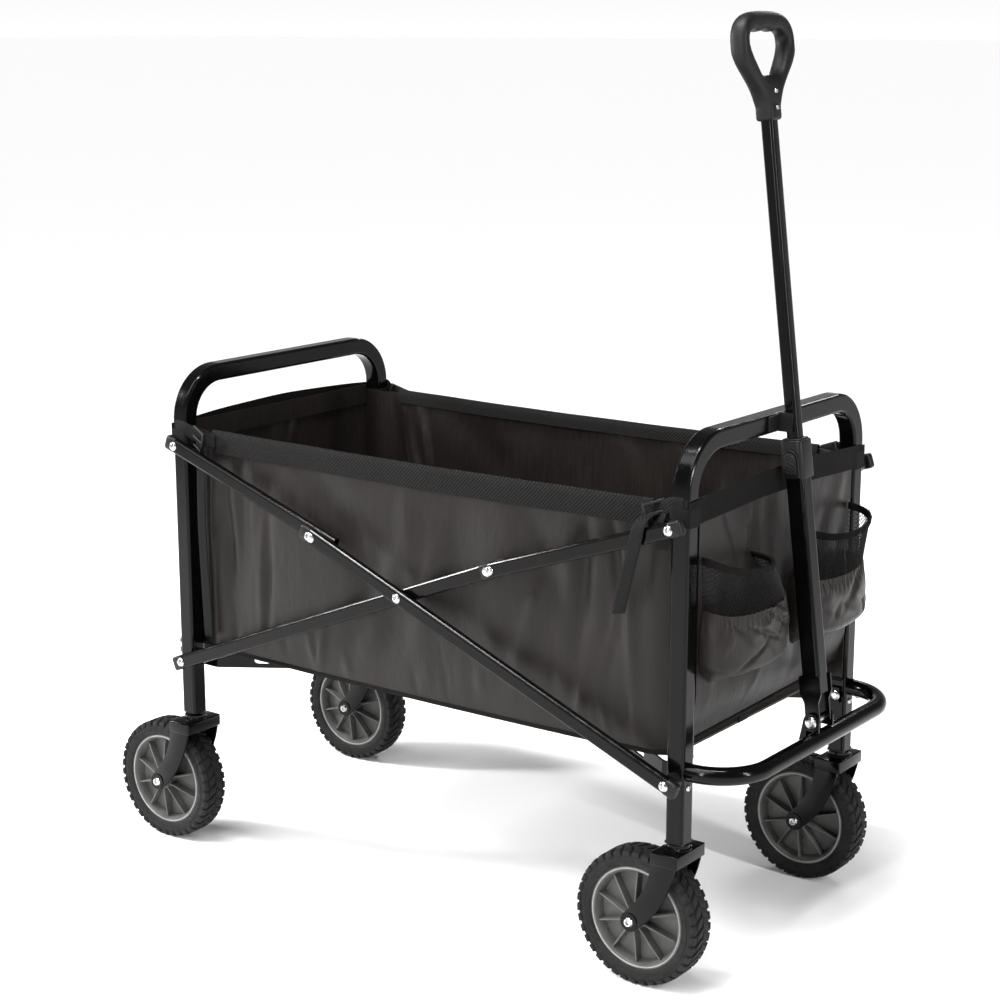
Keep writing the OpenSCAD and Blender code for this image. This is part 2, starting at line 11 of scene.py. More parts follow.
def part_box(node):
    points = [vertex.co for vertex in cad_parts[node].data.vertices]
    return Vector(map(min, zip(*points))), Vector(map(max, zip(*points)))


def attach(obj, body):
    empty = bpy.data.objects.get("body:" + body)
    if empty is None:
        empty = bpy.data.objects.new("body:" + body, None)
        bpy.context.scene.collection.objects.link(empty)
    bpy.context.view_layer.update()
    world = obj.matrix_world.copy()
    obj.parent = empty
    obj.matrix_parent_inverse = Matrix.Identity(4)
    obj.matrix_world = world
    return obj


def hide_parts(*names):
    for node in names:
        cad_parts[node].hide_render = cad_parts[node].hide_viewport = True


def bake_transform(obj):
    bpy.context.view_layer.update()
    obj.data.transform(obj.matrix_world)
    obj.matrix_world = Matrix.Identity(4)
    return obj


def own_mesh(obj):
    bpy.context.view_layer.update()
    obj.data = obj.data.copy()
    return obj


bl_info = {
    "name": "Folding Camp Wagon",
    "version": (1, 0, 0),
    "blender": (4, 5, 0),
    "location": "View3D > Sidebar > Camp Wagon",
    "description": "Builds a folding camp wagon's fabric, wheels, grip and fittings round its frame",
    "category": "Add Mesh",
}

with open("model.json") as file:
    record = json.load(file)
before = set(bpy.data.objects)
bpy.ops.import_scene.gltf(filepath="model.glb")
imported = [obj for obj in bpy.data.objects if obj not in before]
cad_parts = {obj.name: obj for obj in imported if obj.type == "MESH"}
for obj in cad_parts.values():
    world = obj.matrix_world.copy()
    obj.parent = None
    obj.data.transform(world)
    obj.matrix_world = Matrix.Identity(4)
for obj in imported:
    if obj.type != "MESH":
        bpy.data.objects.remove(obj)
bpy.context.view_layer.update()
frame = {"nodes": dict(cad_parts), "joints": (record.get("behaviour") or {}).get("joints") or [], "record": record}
JOINTS = {joint["name"]: joint for joint in frame["joints"]}


def pivot(joint):
    """Where a joint's axis passes."""
    return Vector(JOINTS[joint]["pos_m"])


# ------------------------------------------------------------------ places taken from the frame

REAR_LOW = pivot("fold")
REAR_TOP = pivot("rear_link_pivot")
FRONT_LOW = pivot("front_lower_pivot")
FRONT_TOP = pivot("front_link_pivot")
CROSSING = pivot("cross_pivot")
HANDLE_FOOT = pivot("handle_pitch")
HANDLE_AXIS = Vector(JOINTS["handle_telescope"]["axis"])
REAR_X, FRONT_X = REAR_LOW.x, FRONT_LOW.x
MIDDLE_X = (REAR_X + FRONT_X) / 2
POST_Y = pivot("front_left_swivel").y
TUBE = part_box("rear_loop")[1].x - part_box("rear_loop")[0].x
POST_FACE = POST_Y + TUBE / 2
POST_INSIDE = POST_Y - TUBE / 2
AXLE_Z = pivot("rear_left_spin").z
TRAIL = REAR_X - pivot("rear_left_spin").x
INNER_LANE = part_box("left_long_bar")[0].y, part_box("left_long_bar")[1].y
OUTER_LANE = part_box("left_cross_bar")[0].y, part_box("left_cross_bar")[1].y
RIM_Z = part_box("basket_left_wall")[1].z
FLOOR_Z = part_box("basket_left_wall")[0].z
WALL_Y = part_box("basket_left_wall")[0].y
PANEL_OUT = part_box("basket_front_panel")[0].x - FRONT_X
LONG_TIP = Vector((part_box("left_long_bar")[1].x, 0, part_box("left_long_bar")[1].z))
SIDES = (("left", 1), ("right", -1))
ENDS = (("rear", REAR_X, -1), ("front", FRONT_X, 1))
CROWN_TOP = 0.190
RIVET_RADIUS, RIVET_HEIGHT = 0.0064, 0.0034
HANDLE_LEAN = math.atan2(HANDLE_AXIS.x, HANDLE_AXIS.z)
FULL_TURN = 2 * math.pi
SAG = 0.004


def smooth_step(value, low, high):
    """0 below low, 1 above high and an even rise between them."""
    share = min(1.0, max(0.0, (value - low) / (high - low)))
    return share * share * (3 - 2 * share)


def lerp(a, b, share):
    """The value that share of the way from a to b."""
    return a + (b - a) * share


# ------------------------------------------------------------------ modelling helpers


def to_object_mode():
    """Object mode with nothing selected."""
    if bpy.context.mode != "OBJECT":
        bpy.ops.object.mode_set(mode="OBJECT")
    bpy.ops.object.select_all(action="DESELECT")


def activate(piece, mode="OBJECT"):
    """Makes piece the only selected and active object, in the given mode."""
    to_object_mode()
    piece.select_set(True)
    bpy.context.view_layer.objects.active = piece
    if mode == "EDIT":
        bpy.ops.object.mode_set(mode="EDIT")
        bpy.ops.mesh.select_all(action="SELECT")


def settle(piece):
    """Applies the piece's place, turn and size, which leaves its object at the origin."""
    activate(piece)
    bpy.ops.object.transform_apply(location=True, rotation=True, scale=True)
    return piece


def outward(piece):
    """Merges doubles and turns the faces outwards."""
    activate(piece, "EDIT")
    bpy.ops.mesh.remove_doubles(threshold=0.00001)
    bpy.ops.mesh.normals_make_consistent(inside=False)
    to_object_mode()
    return piece


def modify(piece, kind, **settings):
    """Adds a modifier and applies it."""
    activate(piece)
    modifier = piece.modifiers.new(kind.title(), kind)
    for setting, value in settings.items():
        setattr(modifier, setting, value)
    bpy.ops.object.modifier_apply(modifier=modifier.name)
    return piece


def soften(piece, width, segments=2, angle=35):
    """Rounds the edges that are sharper than angle."""
    return modify(piece, "BEVEL", width=width, segments=segments, limit_method="ANGLE",
                  angle_limit=math.radians(angle), harden_normals=False)


def thicken(piece, thickness, offset=0.0):
    """Gives a sheet its thickness."""
    return modify(piece, "SOLIDIFY", thickness=thickness, offset=offset, use_even_offset=True)


def join(name, pieces):
    """Joins pieces into the first one."""
    to_object_mode()
    for piece in pieces:
        piece.select_set(True)
    bpy.context.view_layer.objects.active = pieces[0]
    if len(pieces) > 1:
        bpy.ops.object.join()
    pieces[0].name = name
    return pieces[0]


def copied(piece, name):
    """A copy with its own mesh."""
    activate(piece)
    bpy.ops.object.duplicate()
    copy = bpy.context.object
    copy.name = name
    return copy


def moved(piece, offset):
    """Moves the piece and keeps its object at the origin."""
    piece.location = offset
    return settle(piece)


def extrude(offset):
    """Extrudes what is selected in edit mode."""
    bpy.ops.mesh.extrude_region_move(TRANSFORM_OT_translate={"value": offset})


def draw_line(name, points):
    """A mesh line through the points, drawn by extruding one vertex."""
    to_object_mode()
    bpy.ops.mesh.primitive_plane_add(size=0.001, location=points[0])
    piece = bpy.context.object
    piece.name = name
    bpy.ops.object.mode_set(mode="EDIT")
    bpy.ops.mesh.select_all(action="SELECT")
    bpy.ops.mesh.merge(type="CENTER")
    for start, end in zip(points, points[1:]):
        extrude(Vector(end) - Vector(start))
    bpy.ops.object.mode_set(mode="OBJECT")
    return settle(piece)


def slab(name, outline, depth):
    """A plate with a closed outline, as thick as the vector depth."""
    piece = draw_line(name, outline)
    activate(piece, "EDIT")
    bpy.ops.mesh.edge_face_add()
    extrude(Vector(depth))
    return outward(piece)


def ring_slab(name, outer, inner, depth):
    """A plate with one opening: outer and inner outlines have as many points as each other."""
    loops = []
    for outline in (outer, inner):
        loop = draw_line(name, list(outline) + [outline[0]])
        activate(loop, "EDIT")
        bpy.ops.mesh.remove_doubles(threshold=0.00001)
        loops.append(loop)
    piece = join(name, loops)
    activate(piece, "EDIT")
    bpy.ops.mesh.bridge_edge_loops()
    bpy.ops.mesh.select_all(action="SELECT")
    extrude(Vector(depth))
    return outward(piece)


def lathe(name, profile, centre, axis=(0, 1, 0), steps=48):
    """Turns a line of (radius, along) points about an axis through centre."""
    along = Vector(axis)
    across = Vector((0, 0, 1)) if abs(along.z) < 0.5 else Vector((1, 0, 0))
    across = (across - along * across.dot(along)).normalized()
    piece = draw_line(name, [Vector(centre) + across * r + along * a for r, a in profile])
    activate(piece, "EDIT")
    bpy.ops.mesh.spin(steps=steps, angle=FULL_TURN, center=centre, axis=along)
    bpy.ops.mesh.select_all(action="SELECT")
    return outward(piece)


def repeat_round(piece, centre, count, axis=(0, 1, 0)):
    """Copies all of the piece's mesh round an axis."""
    activate(piece, "EDIT")
    bpy.ops.mesh.spin(steps=count - 1, dupli=True, angle=FULL_TURN * (count - 1) / count,
                      center=centre, axis=axis)
    to_object_mode()
    return piece


def block(name, centre, size, turn=(0, 0, 0), edge=0.001, segments=2):
    """A block with rounded edges."""
    to_object_mode()
    bpy.ops.mesh.primitive_cube_add(size=1, location=centre, rotation=turn, scale=size)
    piece = bpy.context.object
    piece.name = name
    settle(piece)
    return soften(piece, edge, segments)


def cloth_grid(name, across, up, shape):
    """A grid whose points go where shape(u, v) says, with u and v from 0 to 1."""
    to_object_mode()
    bpy.ops.mesh.primitive_grid_add(x_subdivisions=across, y_subdivisions=up, size=1)
    piece = bpy.context.object
    piece.name = name
    for vertex in piece.data.vertices:
        vertex.co = shape(vertex.co.x + 0.5, vertex.co.y + 0.5)
    return settle(piece)


def ribbon(name, path, width, thickness, edge=0.0004):
    """A strap: the path's line is widened by the vector width and given its thickness."""
    piece = draw_line(name, [Vector(p) - Vector(width) / 2 for p in path])
    activate(piece, "EDIT")
    for _ in range(4):
        extrude(Vector(width) / 4)
    bpy.ops.mesh.select_all(action="SELECT")
    bpy.ops.mesh.normals_make_consistent(inside=False)
    to_object_mode()
    thicken(piece, thickness)
    return soften(piece, edge, 1)


def cord_line(name, path, radius):
    """A round piping or binding along a path."""
    piece = draw_line(name, path)
    activate(piece)
    bpy.ops.object.convert(target="CURVE")
    curve = bpy.context.object
    curve.data.bevel_depth = radius
    curve.data.bevel_resolution = 2 if radius < 0.008 else 6
    curve.data.use_fill_caps = True
    bpy.ops.object.convert(target="MESH")
    return outward(settle(bpy.context.object))


def smooth_path(points, steps=5):
    """A rounded path through the points."""
    ends = [points[0]] + list(points) + [points[-1]]
    path = []
    for i in range(1, len(ends) - 2):
        a, b, c, d = (Vector(ends[i + k]) for k in (-1, 0, 1, 2))
        for s in range(steps):
            t = s / steps
            path.append(0.5 * (2 * b + (c - a) * t + (2 * a - 5 * b + 4 * c - d) * t * t
                               + (3 * b - a - 3 * c + d) * t ** 3))
    return path + [Vector(points[-1])]


def arc(centre, radius, start, end, count):
    """Points (a, b) round part of a circle, with angles in degrees."""
    return [(centre[0] + radius * math.cos(math.radians(lerp(start, end, i / (count - 1)))),
             centre[1] + radius * math.sin(math.radians(lerp(start, end, i / (count - 1)))))
            for i in range(count)]


def rounded_square(half, corner, count, centre=(0, 0)):
    """A square's outline with round corners of count points each."""
    points = []
    for quarter, (cx, cy) in enumerate(((1, 1), (-1, 1), (-1, -1), (1, -1))):
        middle = (centre[0] + cx * (half - corner), centre[1] + cy * (half - corner))
        points += arc(middle, corner, 90 * quarter, 90 * quarter + 90, count)
    return points


def shorten_with_fold(piece):
    """Gives a piece that runs along the wagon its own copy of its mesh."""
    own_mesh(piece)


def dress(piece, body, finish, slot, replaces=(), angle=40):
    """Smooth shading, material and body for a finished piece; slot is not used."""
    settle(piece)
    activate(piece)
    bpy.ops.object.shade_smooth_by_angle(angle=math.radians(angle))
    if finish and not piece.data.materials:
        piece.data.materials.append(material(finish))
    if body:
        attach(piece, body)
    if replaces:
        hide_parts(*replaces)
    return piece


# ------------------------------------------------------------------ materials


def nodes_of(name, colour, roughness, metallic=0.0, specular=0.5):
    """A new material's shader, node tree and object coordinates."""
    made = bpy.data.materials.new(name)
    made.use_nodes = True
    tree = made.node_tree
    shader = tree.nodes["Principled BSDF"]
    shader.inputs["Base Color"].default_value = (*colour, 1)
    shader.inputs["Roughness"].default_value = roughness
    shader.inputs["Metallic"].default_value = metallic
    shader.inputs["Specular IOR Level"].default_value = specular
    place = tree.nodes.new("ShaderNodeTexCoord").outputs["Object"]
    return made, tree, shader, place


def stretched(tree, place, scale):
    """Coordinates scaled along each axis."""
    mapping = tree.nodes.new("ShaderNodeMapping")
    mapping.inputs["Scale"].default_value = scale
    tree.links.new(place, mapping.inputs["Vector"])
    return mapping.outputs["Vector"]


def noise(tree, place, scale, detail=3.0, roughness=0.55):
    """A noise factor."""
    node = tree.nodes.new("ShaderNodeTexNoise")
    node.inputs["Scale"].default_value = scale
    node.inputs["Detail"].default_value = detail
    node.inputs["Roughness"].default_value = roughness
    tree.links.new(place, node.inputs["Vector"])
    return node.outputs["Fac"]


def waves(tree, place, scale, direction):
    """Parallel bands across a direction."""
    node = tree.nodes.new("ShaderNodeTexWave")
    node.bands_direction = direction
    node.inputs["Scale"].default_value = scale
    tree.links.new(place, node.inputs["Vector"])
    return node.outputs["Fac"]


def combine(tree, kind, a, b):
    """A maths node on sockets or numbers."""
    node = tree.nodes.new("ShaderNodeMath")
    node.operation = kind
    for socket, value in zip(node.inputs, (a, b)):
        if isinstance(value, (int, float)):
            socket.default_value = value
        else:
            tree.links.new(value, socket)
    return node.outputs[0]


def shade_range(tree, factor, low, high, socket, start=0.3, end=0.7):
    """Drives a socket from low to high, a colour or a number, by a factor."""
    colour = isinstance(low, tuple)
    ramp = tree.nodes.new("ShaderNodeValToRGB" if colour else "ShaderNodeMapRange")
    if colour:
        ramp.color_ramp.elements[0].position = start
        ramp.color_ramp.elements[1].position = end
        ramp.color_ramp.elements[0].color = (*low, 1)
        ramp.color_ramp.elements[1].color = (*high, 1)
        tree.links.new(factor, ramp.inputs["Fac"])
        tree.links.new(ramp.outputs["Color"], socket)
    else:
        ramp.inputs["From Min"].default_value = start
        ramp.inputs["From Max"].default_value = end
        ramp.inputs["To Min"].default_value = low
        ramp.inputs["To Max"].default_value = high
        tree.links.new(factor, ramp.inputs["Value"])
        tree.links.new(ramp.outputs["Result"], socket)


def bump(tree, shader, height, strength, distance, under=None):
    """Raises the surface by a height, over an earlier bump if there is one."""
    node = tree.nodes.new("ShaderNodeBump")
    node.inputs["Strength"].default_value = strength
    node.inputs["Distance"].default_value = distance
    tree.links.new(height, node.inputs["Height"])
    if under:
        tree.links.new(under, node.inputs["Normal"])
    tree.links.new(node.outputs["Normal"], shader.inputs["Normal"])
    return node.outputs["Normal"]


def dimmed(colour, share):
    """A colour times a share."""
    return tuple(channel * share for channel in colour)


def round_the_frame(tree, place):
    """Coordinates that run along a vertical panel whichever way it faces: X plus Y, then Z."""
    parts = tree.nodes.new("ShaderNodeSeparateXYZ")
    whole = tree.nodes.new("ShaderNodeCombineXYZ")
    tree.links.new(place, parts.inputs[0])
    tree.links.new(combine(tree, "ADD", parts.outputs["X"], parts.outputs["Y"]), whole.inputs["X"])
    tree.links.new(parts.outputs["Z"], whole.inputs["Y"])
    return whole.outputs[0]


def gloss_coat(name, colour):
    """Gloss powder coat with a slight orange peel."""
    made, tree, shader, place = nodes_of(name, colour, 0.14, specular=0.12)
    shade_range(tree, noise(tree, place, 90), 0.09, 0.17, shader.inputs["Roughness"])
    bump(tree, shader, noise(tree, place, 600, 2), 0.05, 0.0004)
    return made


def zinc(name, colour):
    """Bright plated steel with faint turning marks."""
    made, tree, shader, place = nodes_of(name, colour, 0.22, 1.0)
    shade_range(tree, noise(tree, place, 300), 0.14, 0.34, shader.inputs["Roughness"])
    bump(tree, shader, noise(tree, place, 1500, 2), 0.05, 0.0002)
    return made


def moulded(name, colour, roughness=0.42, grain=900):
    """Moulded plastic with a fine spark-eroded grain."""
    made, tree, shader, place = nodes_of(name, colour, roughness, specular=0.2)
    shade_range(tree, noise(tree, place, 60), dimmed(colour, 0.82), dimmed(colour, 1.15),
                shader.inputs["Base Color"])
    shade_range(tree, noise(tree, place, 200), roughness - 0.06, roughness + 0.08,
                shader.inputs["Roughness"])
    bump(tree, shader, noise(tree, place, grain, 3), 0.12, 0.0003)
    return made


def rubber(name, colour):
    """Matt rubber with dust in its hollows."""
    made, tree, shader, place = nodes_of(name, colour, 0.68, specular=0.18)
    shade_range(tree, noise(tree, place, 45, 5), dimmed(colour, 0.7), dimmed(colour, 1.7),
                shader.inputs["Base Color"])
    shade_range(tree, noise(tree, place, 160), 0.55, 0.78, shader.inputs["Roughness"])
    bump(tree, shader, noise(tree, place, 800, 3), 0.2, 0.0004)
    return made


def woven(name, colour, sheen):
    """Coated polyester: fine upright threads, a crossing weft and soft shade changes."""
    made, tree, shader, place = nodes_of(name, colour, 0.5, specular=0.18)
    shader.inputs["Sheen Weight"].default_value = sheen
    shader.inputs["Sheen Roughness"].default_value = 0.4
    panel = round_the_frame(tree, place)
    streaks = noise(tree, stretched(tree, panel, (520, 14, 1)), 1.0, 4, 0.6)
    clouds = noise(tree, place, 7, 3)
    tone = combine(tree, "ADD", combine(tree, "MULTIPLY", streaks, 0.6),
                   combine(tree, "MULTIPLY", clouds, 0.4))
    shade_range(tree, tone, dimmed(colour, 0.74), dimmed(colour, 1.28), shader.inputs["Base Color"],
                0.36, 0.64)
    shade_range(tree, streaks, 0.34, 0.47, shader.inputs["Roughness"])
    warp = waves(tree, panel, 420, "X")
    weft = waves(tree, panel, 420, "Y")
    threads = bump(tree, shader, combine(tree, "MULTIPLY", warp, weft), 0.18, 0.0003)
    bump(tree, shader, noise(tree, stretched(tree, place, (1, 1, 0.45)), 24, 4), 0.5, 0.0042, threads)
    return made


def webbed(name, colour, scale=150):
    """Coarse webbing: a diagonal twill of thick threads."""
    made, tree, shader, place = nodes_of(name, colour, 0.74, specular=0.08)
    panel = round_the_frame(tree, place)
    one_way = waves(tree, panel, scale, "DIAGONAL")
    flipped = stretched(tree, panel, (-1, 1, 1))
    other_way = waves(tree, flipped, scale * 0.8, "DIAGONAL")
    lattice = combine(tree, "MULTIPLY", one_way, other_way)
    fuzz = noise(tree, place, 420, 3)
    tone = combine(tree, "ADD", combine(tree, "MULTIPLY", lattice, 0.7),
                   combine(tree, "MULTIPLY", fuzz, 0.4))
    shade_range(tree, tone, dimmed(colour, 0.3), dimmed(colour, 3.0), shader.inputs["Base Color"],
                0.15, 0.75)
    bump(tree, shader, tone, 0.7, 0.0011)
    return made


def paper_white(name, colour):
    """The studio floor."""
    made, tree, shader, place = nodes_of(name, colour, 0.9)
    shade_range(tree, noise(tree, place, 3), dimmed(colour, 0.995), dimmed(colour, 1.0),
                shader.inputs["Base Color"])
    return made


def material(finish):
    """The wagon's material of that name, made once from the user's colours."""
    if finish in bpy.data.materials:
        return bpy.data.materials[finish]
    colours = bpy.context.scene.wagon_colours
    makers = {
        "gloss_black_tube": lambda n: gloss_coat(n, tuple(colours.tube)),
        "bright_zinc": lambda n: zinc(n, tuple(colours.zinc)),
        "black_moulding": lambda n: moulded(n, tuple(colours.plastic)),
        "soft_grip": lambda n: moulded(n, tuple(colours.grip), 0.5, 1300),
        "tread_rubber": lambda n: rubber(n, tuple(colours.rubber)),
        "grey_wheel": lambda n: moulded(n, tuple(colours.wheel), 0.46, 700),
        "rim_line": lambda n: moulded(n, tuple(colours.rim_line), 0.4, 700),
        "basket_cloth": lambda n: woven(n, tuple(colours.cloth), 0.02),
        "pocket_cloth": lambda n: woven(n, tuple(colours.cloth), 0.04),
        "pocket_net": lambda n: moulded(n, tuple(colours.plastic), 0.6, 500),
        "rim_webbing": lambda n: webbed(n, tuple(colours.webbing)),
        "strap_webbing": lambda n: webbed(n, tuple(colours.webbing), 190),
        "binding_tape": lambda n: webbed(n, dimmed(tuple(colours.webbing), 0.6), 320),
        "studio_floor": lambda n: paper_white(n, tuple(colours.floor)),
    }
    return makers[finish](finish)


# ------------------------------------------------------------------ CAD parts


NODE_FINISH = {
    "frame_tube": "gloss_black_tube", "plain_steel": "bright_zinc", "black_plastic": "black_moulding",
    "tyre_rubber": "tread_rubber", "wheel_plastic": "grey_wheel", "basket_fabric": "basket_cloth",
    "webbing": "rim_webbing", "pocket_fabric": "pocket_cloth", "grip_rubber": "soft_grip",
}


def paint_frame_parts():
    """Gives every CAD node the finish of its slot."""
    for row in frame["record"]["subparts"]:
        node = frame["nodes"][row["node"]]
        node.data.materials.clear()
        node.data.materials.append(material(NODE_FINISH[row["material_slot"]]))
    frame["nodes"]["rear_cross_bolts"].data.materials[0] = material("black_moulding")


# ------------------------------------------------------------------ wheels


def tread_lugs(centre, radius, half_width, count, depth):
    """Zigzag blocks over the tread and square blocks down each shoulder, for one pitch, repeated."""
    pitch = FULL_TURN * radius / count
    wide = pitch * 0.68
    lean = pitch * 0.5
    shoulder = half_width * 0.66
    top = radius
    lugs = []
    for side in (1, -1):
        start = 0 if side > 0 else pitch / 2
        rows = (
            (start - wide / 2, start + lean - wide / 2, 0.0006, shoulder - 0.0010, top - depth - 0.001, 0),
            (start + lean - wide / 2, start + lean - wide * 0.44, shoulder + 0.0006,
             half_width, top - depth * 3.4, depth * 1.1),
        )
        for x_in, x_out, y_in, y_out, base, drop in rows:
            lug = slab("lug", [
                centre + Vector((x_in, side * y_in, base)), centre + Vector((x_in + wide, side * y_in, base)),
                centre + Vector((x_out + wide * 0.94, side * y_out, base)),
                centre + Vector((x_out, side * y_out, base)),
            ], (0, 0, top - base))
            for vertex in lug.data.vertices:
                if abs(vertex.co.y - centre.y) > y_out - 0.0002 and vertex.co.z > centre.z + top - 0.0002:
                    vertex.co.z -= drop
                vertex.co.z -= top - math.sqrt(top * top - (vertex.co.x - centre.x) ** 2)
            lugs.append(soften(lug, 0.0008, 2))
    return repeat_round(join("lugs", lugs), centre, count)


def make_tyre(name, centre, sizes):
    """Tyre carcass with its chunky tread."""
    radius = AXLE_Z - 0.0001
    half = sizes.tyre_width / 2
    rim = sizes.rim_radius
    side = [(rim - 0.001, -half * 0.72), (rim + 0.0015, -half * 0.86), (rim + 0.006, -half * 0.93),
            (radius * 0.915, -half * 0.94), (radius * 0.955, -half * 0.88), (radius * 0.974, -half * 0.7),
            (radius * 0.979, -half * 0.2)]
    profile = side + [(r, -y) for r, y in reversed(side)] + [side[0]]
    carcass = lathe(name, profile, centre, steps=96)
    bead = [lathe("bead", [(rim + 0.0088 + dr, s * (half * 0.93 + dy)) for dr, dy in
                           ((-0.0009, -0.0003), (-0.0004, 0.0005), (0.0004, 0.0005), (0.0009, -0.0003))],
                  centre, steps=96) for s in (1, -1)]
    return join(name, [carcass, tread_lugs(centre, radius, half, sizes.tread_blocks, sizes.tread_depth)]
                + bead)


def make_hub(name, centre, sizes):
    """Dished wheel centre with thin ribs and a pale line round its rim."""
    rim = sizes.rim_radius
    half = sizes.tyre_width / 2 * 0.8
    side = [(0.0062, -0.027), (0.0118, -0.027), (0.0132, -0.0258), (0.0146, -0.0072),
            (rim - 0.0098, -0.0036), (rim - 0.0066, -half * 0.82), (rim - 0.0048, -half),
            (rim, -half)]
    hub = lathe(name, side + [(r, -y) for r, y in reversed(side)] + [side[0]], centre, steps=72)
    rib = slab("rib", [centre + Vector((-0.001, y, r)) for r, y in (
        (0.0120, -0.0215), (rim - 0.0075, -half * 0.86), (rim - 0.0075, half * 0.86), (0.0120, 0.0215))],
        (0.002, 0, 0))
    ribs = repeat_round(soften(rib, 0.0003, 1), centre, sizes.wheel_ribs)
    hub = join(name, [hub, ribs])
    hub.data.materials.append(material("grey_wheel"))
    lines = [lathe("rim_line", [(rim - 0.0034, s * (half - 0.0002)), (rim - 0.0029, s * (half + 0.0009)),
                                (rim - 0.0019, s * (half + 0.0009)), (rim - 0.0014, s * (half - 0.0002))],
                   centre, steps=72) for s in (1, -1)]
    for line in lines:
        line.data.materials.append(material("rim_line"))
    return join(name, [hub] + lines)


WHEELS = (("rear_left", "rear_left_wheel"), ("rear_right", "rear_right_wheel"),
          ("front_left", "front_left_wheel"), ("front_right", "front_right_wheel"))


def make_wheels(sizes):
    """One wheel is modelled and copied to the four axles."""
    first = pivot("rear_left_spin")
    tyre = make_tyre("rear_left_treaded_tyre", first, sizes)
    hub = make_hub("rear_left_ribbed_hub", first, sizes)
    for corner, body in WHEELS:
        offset = pivot(corner + "_spin") - first
        for piece, what, finish, slot, node in (
                (tyre, "treaded_tyre", "tread_rubber", "tyre_rubber", "tyre"),
                (hub, "ribbed_hub", None, "wheel_plastic", "hub")):
            own = piece if corner == "rear_left" else moved(copied(piece, f"{corner}_{what}"), offset)
            own.name = f"{corner}_{what}"
            if corner != "rear_left":
                dress(own, body, finish, slot, (f"{corner}_{node}",), 35)
    for piece, finish, slot, node in ((tyre, "tread_rubber", "tyre_rubber", "tyre"),
                                      (hub, None, "wheel_plastic", "hub")):
        dress(piece, "rear_left_wheel", finish, slot, (f"rear_left_{node}",), 35)


# ------------------------------------------------------------------ forks


def leg_outline(top_z):
    """The curved leg's outline in its own plane: x behind the post, z up."""
    start, bend, end = Vector((-0.001, top_z)), Vector((-0.006, 0.128)), Vector((-TRAIL, AXLE_Z))
    left, right = [], []
    for i in range(9):
        t = i / 8
        point = start * (1 - t) ** 2 + bend * 2 * t * (1 - t) + end * t * t
        ahead = ((bend - start) * (1 - t) + (end - bend) * t).normalized()
        half = lerp(0.0172, 0.0132, t)
        normal = Vector((-ahead.y, ahead.x)) * half
        left.append(point - normal)
        right.append(point + normal)
    direction = (end - bend).normalized()
    angle = math.degrees(math.atan2(direction.y, direction.x))
    cap = [Vector(p) for p in arc(end, 0.0132, angle + 90 - 180 + 15, angle + 90 - 15, 7)]
    return left + cap + list(reversed(right))


def make_fork(name, x, y):
    """Pressed crown with a skirt, a raised collar and two curved legs."""
    leg_y = (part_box("rear_left_fork")[1].y - POST_Y) - 0.003
    legs = []
    outline = leg_outline(CROWN_TOP - 0.006)
    for side in (1, -1):
        at = leg_y if side > 0 else -leg_y - 0.003
        leg = slab("leg", [Vector((x + p.x, y + at, p.y)) for p in outline], (0, 0.003, 0))
        legs.append(soften(leg, 0.0008, 2))
    to_object_mode()
    bpy.ops.mesh.primitive_cube_add(size=1, location=(x - 0.001, y, CROWN_TOP - 0.0085),
                                    scale=(0.0385, 2 * leg_y + 0.0078, 0.017))
    crown = settle(bpy.context.object)
    activate(crown, "EDIT")
    bpy.ops.mesh.select_all(action="DESELECT")
    bpy.ops.object.mode_set(mode="OBJECT")
    for face in crown.data.polygons:
        face.select = face.normal.z < -0.9
    bpy.ops.object.mode_set(mode="EDIT")
    bpy.ops.mesh.inset(thickness=0.003)
    extrude((0, 0, 0.0130))
    to_object_mode()
    soften(crown, 0.0045, 3)
    collar_profile = [(0.0, 0.0), (0.0175, 0.0), (0.0172, 0.0016), (0.0152, 0.0030), (0.0148, 0.0068),
                      (0.0, 0.0068)]
    collar = lathe("collar", collar_profile, Vector((x, y, CROWN_TOP - 0.0004)), (0, 0, 1), 40)
    bosses = [lathe("boss", [(0.0, -0.0004), (0.0122, -0.0004), (0.0118, 0.0012), (0.0, 0.0012)],
                    Vector((x - TRAIL, y + s * (leg_y + 0.003), AXLE_Z)), (0, s, 0), 32) for s in (1, -1)]
    return join(name, legs + [crown, collar] + bosses)


def make_forks():
    places = (("rear_left", REAR_X, POST_Y, "rear_frame"), ("rear_right", REAR_X, -POST_Y, "rear_frame"),
              ("front_left", FRONT_X, POST_Y, "front_left_caster"),
              ("front_right", FRONT_X, -POST_Y, "front_right_caster"))
    for corner, x, y, body in places:
        fork = make_fork(f"{corner}_pressed_fork", x, y)
        dress(fork, body, "gloss_black_tube", "frame_tube", (f"{corner}_fork",), 35)


# ------------------------------------------------------------------ rivets, caps and small fittings


def rivet_face(centre, side, radius, height):
    """A domed head with a small recess, facing the given side."""
    profile = [(0.0, height * 0.62), (radius * 0.2, height * 0.62), (radius * 0.27, height),
               (radius * 0.5, height * 0.95), (radius * 0.78, height * 0.7), (radius * 0.95, height * 0.34),
               (radius, 0.0), (radius, -0.0008), (0.0, -0.0008)]
    return lathe("rivet_face", profile, centre, (0, side, 0), 28)


